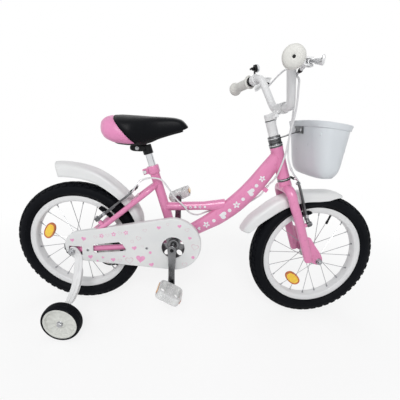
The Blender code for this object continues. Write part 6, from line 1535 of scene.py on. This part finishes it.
piece("basket_shell", [lofted(rings)], PEARL, "steering", "basket", True, smooth=40.0)


def basket_spot(degrees, height, lift=0.0):
    """Maps flat points to the basket's outer wall round this place."""

    def place(u, v):
        level = height + v / 0.146
        centre, ahead, half_x, half_y = basket_level(level)
        angle = math.radians(degrees) + u / (0.5 * (half_x + half_y))
        c = squared_off(math.cos(angle), 2.0 / SQUARE)
        s = squared_off(math.sin(angle), 2.0 / SQUARE)
        return centre + ahead * (half_x + lift) * c + Y * (half_y + lift) * s

    return place


relief = []
for degrees, height, size, spin in ((0.0, 0.5, 0.046, 0), (-26.0, 0.66, 0.026, 14), (26.0, 0.66, 0.026, -14),
                                    (-24.0, 0.34, 0.022, -10), (24.0, 0.34, 0.022, 10), (-42.0, 0.5, 0.02, 8),
                                    (42.0, 0.5, 0.02, -8), (0.0, 0.2, 0.018, 0), (-38.0, 0.2, 0.016, 12),
                                    (38.0, 0.2, 0.016, -12)):
    relief.append((motif(heart(size), basket_spot(degrees, height, 0.0004), spin=spin), 0))
    if size > 0.024:
        relief.append((motif(heart(size * 1.18), basket_spot(degrees, height, 0.0003), 0.91, spin), 1))
for side in (-1.0, 1.0):
    spot = basket_spot(side * 128.0, 0.78)(0.0, 0.0)
    centre = basket_level(0.78)[0]
    out = Vector((spot.x - centre.x, spot.y - centre.y, 0.0)).normalized()
    relief.append((rod(*span(spot, out, -0.001, 0.0012), 0.0034, 20, 0.0006), 1))
piece("basket_hearts", relief, [PRINT_WHITE, PEARL], "steering", (), True)


def basket_back(height):
    centre, ahead, half_x, _ = basket_level(height)
    return centre - ahead * (half_x + 0.0018)



bar = swept(smooth_curve([on_steerer(0.014, 0.016), on_steerer(0.014, 0.038), on_steerer(0.015, 0.046),
                          basket_back(0.8), basket_back(0.81)], 0.003), (0.0078, 0.0014), 16, Y, 5.0)
plate_path = spaced([basket_back(0.77), basket_back(0.895)], 0.004)
wall_plate = swept(plate_path, (0.026, 0.0014), 24, Y, 6.0)
clip_parts = [(collar(on_steerer(0.014), STEER_AXIS, 0.0148, 0.018, 0.0184, -0.0014, 0.0014, 0.0006, 48), 0),
              (bar, 0), (wall_plate, 0)]
for y in (-0.018, 0.018):
    spot = basket_back(0.83) + Y * y
    clip_parts.append((rod(*span(spot, -X, 0.0012, 0.003), 0.0042, 20, 0.0006), 1))
piece("basket_hanger", clip_parts, [DARK, STEEL], "steering", "basket_bracket", True)


# Brakes


def brake_arm(name, body, node, pivot, up_way, out, setback, axle, side, turned):
    hub = pivot + out * setback
    eye = collar(hub, out, 0.0043, 0.0076, 0.0082, -0.0055, 0.0055, 0.0007, 32)
    route = ((0.004, 0.0), (0.0225, -0.0075), (0.045, -0.008), (0.107, -0.008), (0.132, -0.014))
    path = smooth_curve([hub + up_way * along + Y * side * inward for along, inward in route], 0.004)
    last = len(path) - 1
    wide = eased(((0.0, 0.0054), (0.2, 0.004), (0.6, 0.0032), (0.95, 0.003), (1.0, 0.0027)))
    arm = swept(path, [(wide(k / last), 0.0044) for k in range(last + 1)], 20, out, 4.0)
    pad_at = hub + up_way * PAD_ALONG
    radial = flat(pad_at.x - axle.x, pad_at.z - axle.z).normalized()
    tangent = Y.cross(radial)
    pad_rings = []
    for y, grow in ((0.0181, -0.0012), (0.0187, -0.0004), (0.025, 0.0), (0.0262, 0.0004), (0.033, 0.0),
                    (0.0345, -0.001)):
        centre = Vector((pad_at.x, side * y, pad_at.z))
        ring = []
        for k in range(40):
            t = 2.0 * math.pi * (k + 0.5) / 40
            c = squared_off(math.cos(t), 0.5)
            s = squared_off(math.sin(t), 0.6)
            bend = radial * -0.0016 * (c * c)
            ring.append(centre + tangent * (0.024 + grow) * c + radial * (0.005 + grow) * s + bend)
        pad_rings.append(ring)
    bolt_in = Vector((pad_at.x, side * 0.034, pad_at.z))
    bolt_out = pad_at + Y * side * 0.001
    spring = [hub - out * 0.0052 + up_way * a + Y * side * b
              for a, b in ((0.0, -0.004), (0.02, -0.012), (0.05, -0.0125), (0.062, -0.0115))]
    spring = [p + out * 0.001 for p in spring]
    parts = [(eye, 0), (arm, 0), (lofted(pad_rings), 1), (rod(bolt_in, bolt_out, 0.0032), 2),
             (rod(*span(pad_at, Y * side, -0.0122, -0.0095), 0.0062, 24, 0.0005), 2),
             (nut(*span(pad_at, Y * side, -0.0045, 0.0002), 0.0056), 2),
             (tube(smooth_curve(spring, 0.003), 0.0008, 8), 2)]
    tip = path[-1] - up_way * 0.006
    parts.append((rod(*span(tip, out, -0.0058, 0.006), 0.0036, 20, 0.0005), 2))
    piece(name, parts, [DARK, RUBBER, STEEL], body, node, turned)


for side, name in ((-1.0, "right"), (1.0, "left")):
    brake_arm("front_caliper_" + name, "front_arm_" + name, "front_brake_arm_" + name,
              on_steerer(FRONT_BRAKE_ALONG, 0.0, side * STUD_SIDE), STEER_AXIS, STEER_FRONT, FRONT_SETBACK,
              FRONT_AXLE, side, True)
    brake_arm("rear_caliper_" + name, "rear_arm_" + name, "rear_brake_arm_" + name,
              on_stay(REAR_BRAKE_ALONG, 0.0, side * STUD_SIDE), STAY_AXIS, STAY_BACK, REAR_SETBACK,
              REAR_AXLE, side, False)


# Cables

REAR_ROUTE = ((0.543, 0.008, 0.37), (0.512, 0.02, 0.342), (0.485, 0.0245, 0.326), (0.455, 0.024, 0.3235),
              (0.425, 0.0225, 0.3255), (0.4, 0.013, 0.3205), (0.374, -0.002, 0.315), (0.35, -0.0165, 0.326),
              (0.331, -0.02, 0.348), (0.306, -0.0215, 0.372), (0.285, -0.0245, 0.402), (0.264, -0.026, 0.426),
              (0.233, -0.03, 0.431), (0.208, -0.036, 0.424), (0.196, -0.043, 0.4125))
# From the top of the head
FRONT_ROUTE = ((-0.002, 0.089, 0.174), (0.006, 0.062, 0.19), (0.0145, 0.028, 0.2025), (0.016, -0.006, 0.1935),
               (0.0205, -0.027, 0.1675), (0.025, -0.033, 0.1325), (0.027, -0.033, 0.0925),
               (0.0255, -0.034, 0.0525), (0.024, -0.033, 0.0075), (0.0275, -0.038, -0.0375),
               (0.0405, -0.045, -0.0725))
LOOP_ROUTE = ((0.015, -0.092, 0.1625), (0.018, -0.0865, 0.1435), (0.024, -0.072, 0.1095),
              (0.0265, -0.056, 0.0725), (0.0245, -0.044, 0.0285), (0.0225, -0.034, -0.0245),
              (0.0115, -0.027, -0.0775), (0.0055, -0.01, -0.1025))


def cable_start(side):
    begin, end = mirrored(BARREL_START, side), mirrored(BARREL_END, side)
    out = (end - begin).normalized()
    return [end + out * 0.0012, end + out * 0.011]


def crossing(up_way, out, origin, setback, along):
    middle = origin + out * setback + up_way * along
    return [middle - Y * 0.041, middle - Y * 0.028, middle + Y * 0.028, middle + Y * 0.04]


def cable_parts(route, ends):
    """The sleeve, with a plated bend and a ribbed boot where it crosses between a pair of brake arms."""
    path = smooth_curve(route, 0.005)
    if not ends:
        return [(tube(path, 0.0025, 16), 0)]
    near, far = ends
    split = min(range(len(path)), key=lambda k: (path[k] - near).length)
    bend = max(split - 10, 1)
    boot_start = near.lerp(far, 0.22)
    boot_end = near.lerp(far, 0.66)
    length = (boot_end - boot_start).length
    bellows = []
    for k in range(33):
        bellows.append(((0.0042 if k % 4 in (1, 2) else 0.0031) * (1.0 - 0.25 * k / 32), length * k / 32))
    bellows = [(0.0, 0.0)] + bellows + [(0.0, length)]
    return [(tube(path[:bend + 1], 0.0025, 16), 0), (tube(path[bend:split + 4], 0.0023, 16), 1),
            (rod(path[bend] - (path[bend] - path[bend - 1]).normalized() * 0.008, path[bend], 0.0031, 20,
                 0.0004), 1),
            (tube(path[split + 3:], 0.0008, 10), 1),
            (revolved(boot_start, boot_end - boot_start, bellows, 24), 2),
            (rod(*span(far, Y, -0.01, 0.002), 0.0019, 16, 0.0004), 1)]


top_gap = 0.132 + 0.0025 + 0.0018
rear_end = crossing(STAY_AXIS, STAY_BACK, REAR_AXLE, REAR_SETBACK, REAR_BRAKE_ALONG + top_gap)
rear_route = [CABLE_STOP - DOWN_RUN * 0.0063, CABLE_STOP - DOWN_RUN * 0.022] + [Vector(p)
        for p in REAR_ROUTE] + rear_end
piece("rear_cable_sleeve", cable_parts(rear_route, (rear_end[1], rear_end[3])),
      [CABLE, CHROME, BLACK], "frame", "rear_brake_cable")
front_end = crossing(STEER_AXIS, STEER_FRONT, HEAD_TOP, FRONT_SETBACK, FRONT_BRAKE_ALONG + top_gap)
front_route = cable_start(1.0) + [HEAD_TOP + Vector(p) for p in FRONT_ROUTE] + front_end
piece("front_cable_sleeve", cable_parts(front_route, (front_end[1], front_end[3])), [CABLE, CHROME, BLACK],
      "steering", "front_brake_cable", True)
loop_route = [TURN @ p for p in cable_start(-1.0)] + [HEAD_TOP + Vector(p) for p in LOOP_ROUTE]
loop_route += [CABLE_STOP + DOWN_RUN * 0.022, CABLE_STOP + DOWN_RUN * 0.0063]
loop_parts = cable_parts(loop_route, None)
first, second = loop_route[0], loop_route[1]
loop_parts.append((rod(first, first + (second - first).normalized() * 0.007, 0.0034, 20, 0.0004), 1))
loop_parts.append((rod(loop_route[-1] + DOWN_RUN * 0.0002, loop_route[-1] + DOWN_RUN * 0.009, 0.0033, 20,
                       0.0004), 1))
looped = bpy.data.objects.new("rear_cable_bend", mesh_of("rear_cable_bend", loop_parts))
in_scene(looped)
for material in (CABLE, CHROME):
    looped.data.materials.append(material)
looped.data.shade_smooth()
looped.data.set_sharp_from_angle(angle=math.radians(40.0))
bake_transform(looped)
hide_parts("rear_cable_loop")


# Studio

CAMERA_PLACE = Vector((0.396, -0.822, 0.62))
CAMERA_TURN = (-1.14, -17.38, 2.75)
SENSOR_WIDTH = 36.0
LENS = 25.21
# Name, place, size and power
LAMPS = (("key", (0.35, -2.3, 2.1), 1.1, 40.0), ("fill", (-1.9, -1.2, 1.5), 1.8, 9.0),
         ("back", (0.6, 2.2, 1.9), 1.8, 12.0))


def studio():
    world = bpy.data.worlds.new("studio")
    bpy.context.scene.world = world
    world.use_nodes = True
    tree = world.node_tree
    tree.nodes.clear()
    out = node_of(tree, "OutputWorld")
    seen = node_of(tree, "Background", {"Color": (1.0, 1.0, 1.0, 1.0), "Strength": 1.0})
    lit = node_of(tree, "Background", {"Color": (0.97, 0.98, 1.0, 1.0), "Strength": 0.4})
    path = node_of(tree, "LightPath")
    first = node_of(tree, "Math", operation="MAXIMUM")
    second = node_of(tree, "Math", operation="MAXIMUM")
    mix = node_of(tree, "MixShader")
    linked(tree, (path.outputs["Is Camera Ray"], first.inputs[0]),
           (path.outputs["Is Glossy Ray"], first.inputs[1]), (first.outputs[0], second.inputs[0]),
           (path.outputs["Is Transmission Ray"], second.inputs[1]), (second.outputs[0], mix.inputs["Fac"]),
           (lit.outputs[0], mix.inputs[1]), (seen.outputs[0], mix.inputs[2]),
           (mix.outputs[0], out.inputs["Surface"]))

    floor = bpy.data.objects.new("studio_floor", mesh_of("studio_floor", [
        ([Vector((x, y, -0.0008)) for x, y in ((-6, -6), (8, -6), (8, 8), (-6, 8))], [[0, 1, 2, 3]])]))
    in_scene(floor)
    material = bpy.data.materials.new("studio_floor")
    material.use_nodes = True
    tree = material.node_tree
    shader = tree.nodes["Principled BSDF"]
    shader.inputs["Base Color"].default_value = (0.93, 0.93, 0.93, 1.0)
    shader.inputs["Roughness"].default_value = 0.9
    glow = node_of(tree, "Emission", {"Color": (1.0, 1.0, 1.0, 1.0), "Strength": 1.0})
    place = node_of(tree, "NewGeometry")
    away = node_of(tree, "VectorMath", {1: (0.37, 0.0, 0.0)}, operation="DISTANCE")
    fade = node_of(tree, "MapRange", {"From Min": 0.5, "From Max": 1.3, "To Min": 0.8, "To Max": 1.0})
    path = node_of(tree, "LightPath")
    share = node_of(tree, "Math", operation="MULTIPLY")
    shows = node_of(tree, "Math", operation="MAXIMUM")
    mix = node_of(tree, "MixShader")
    linked(tree, (place.outputs["Position"], away.inputs[0]), (away.outputs["Value"], fade.inputs["Value"]),
           (path.outputs["Is Camera Ray"], shows.inputs[0]), (path.outputs["Is Glossy Ray"], shows.inputs[1]),
           (shows.outputs[0], share.inputs[0]), (fade.outputs["Result"], share.inputs[1]),
           (share.outputs[0], mix.inputs["Fac"]), (shader.outputs[0], mix.inputs[1]),
           (glow.outputs[0], mix.inputs[2]),
           (mix.outputs[0], tree.nodes["Material Output"].inputs["Surface"]))
    floor.data.materials.append(material)

    target = flat(0.37, 0.35)
    for name, spot, size, power in LAMPS:
        lamp = bpy.data.lights.new(name, "AREA")
        lamp.size = size
        lamp.energy = power
        made = bpy.data.objects.new(name, lamp)
        made.location = spot
        made.rotation_euler = (target - Vector(spot)).to_track_quat("-Z", "Y").to_euler()
        in_scene(made)


def camera():
    yaw, pitch, roll = (math.radians(angle) for angle in CAMERA_TURN)
    look = Vector((math.sin(yaw) * math.cos(pitch), math.cos(yaw) * math.cos(pitch), math.sin(pitch)))
    right = Vector((math.cos(yaw), -math.sin(yaw), 0.0))
    above = right.cross(look)
    side = right * math.cos(roll) + above * math.sin(roll)
    top_way = above * math.cos(roll) - right * math.sin(roll)
    data = bpy.data.cameras.new("photo")
    data.sensor_width = SENSOR_WIDTH
    data.lens = LENS
    data.clip_start = 0.01
    made = bpy.data.objects.new("photo", data)
    home = Matrix((side, top_way, -look)).transposed().to_4x4()
    home.translation = CAMERA_PLACE
    made.matrix_world = home
    in_scene(made)
    bpy.context.scene.camera = made


studio()
camera()
bpy.context.scene.view_settings.view_transform = "Standard"
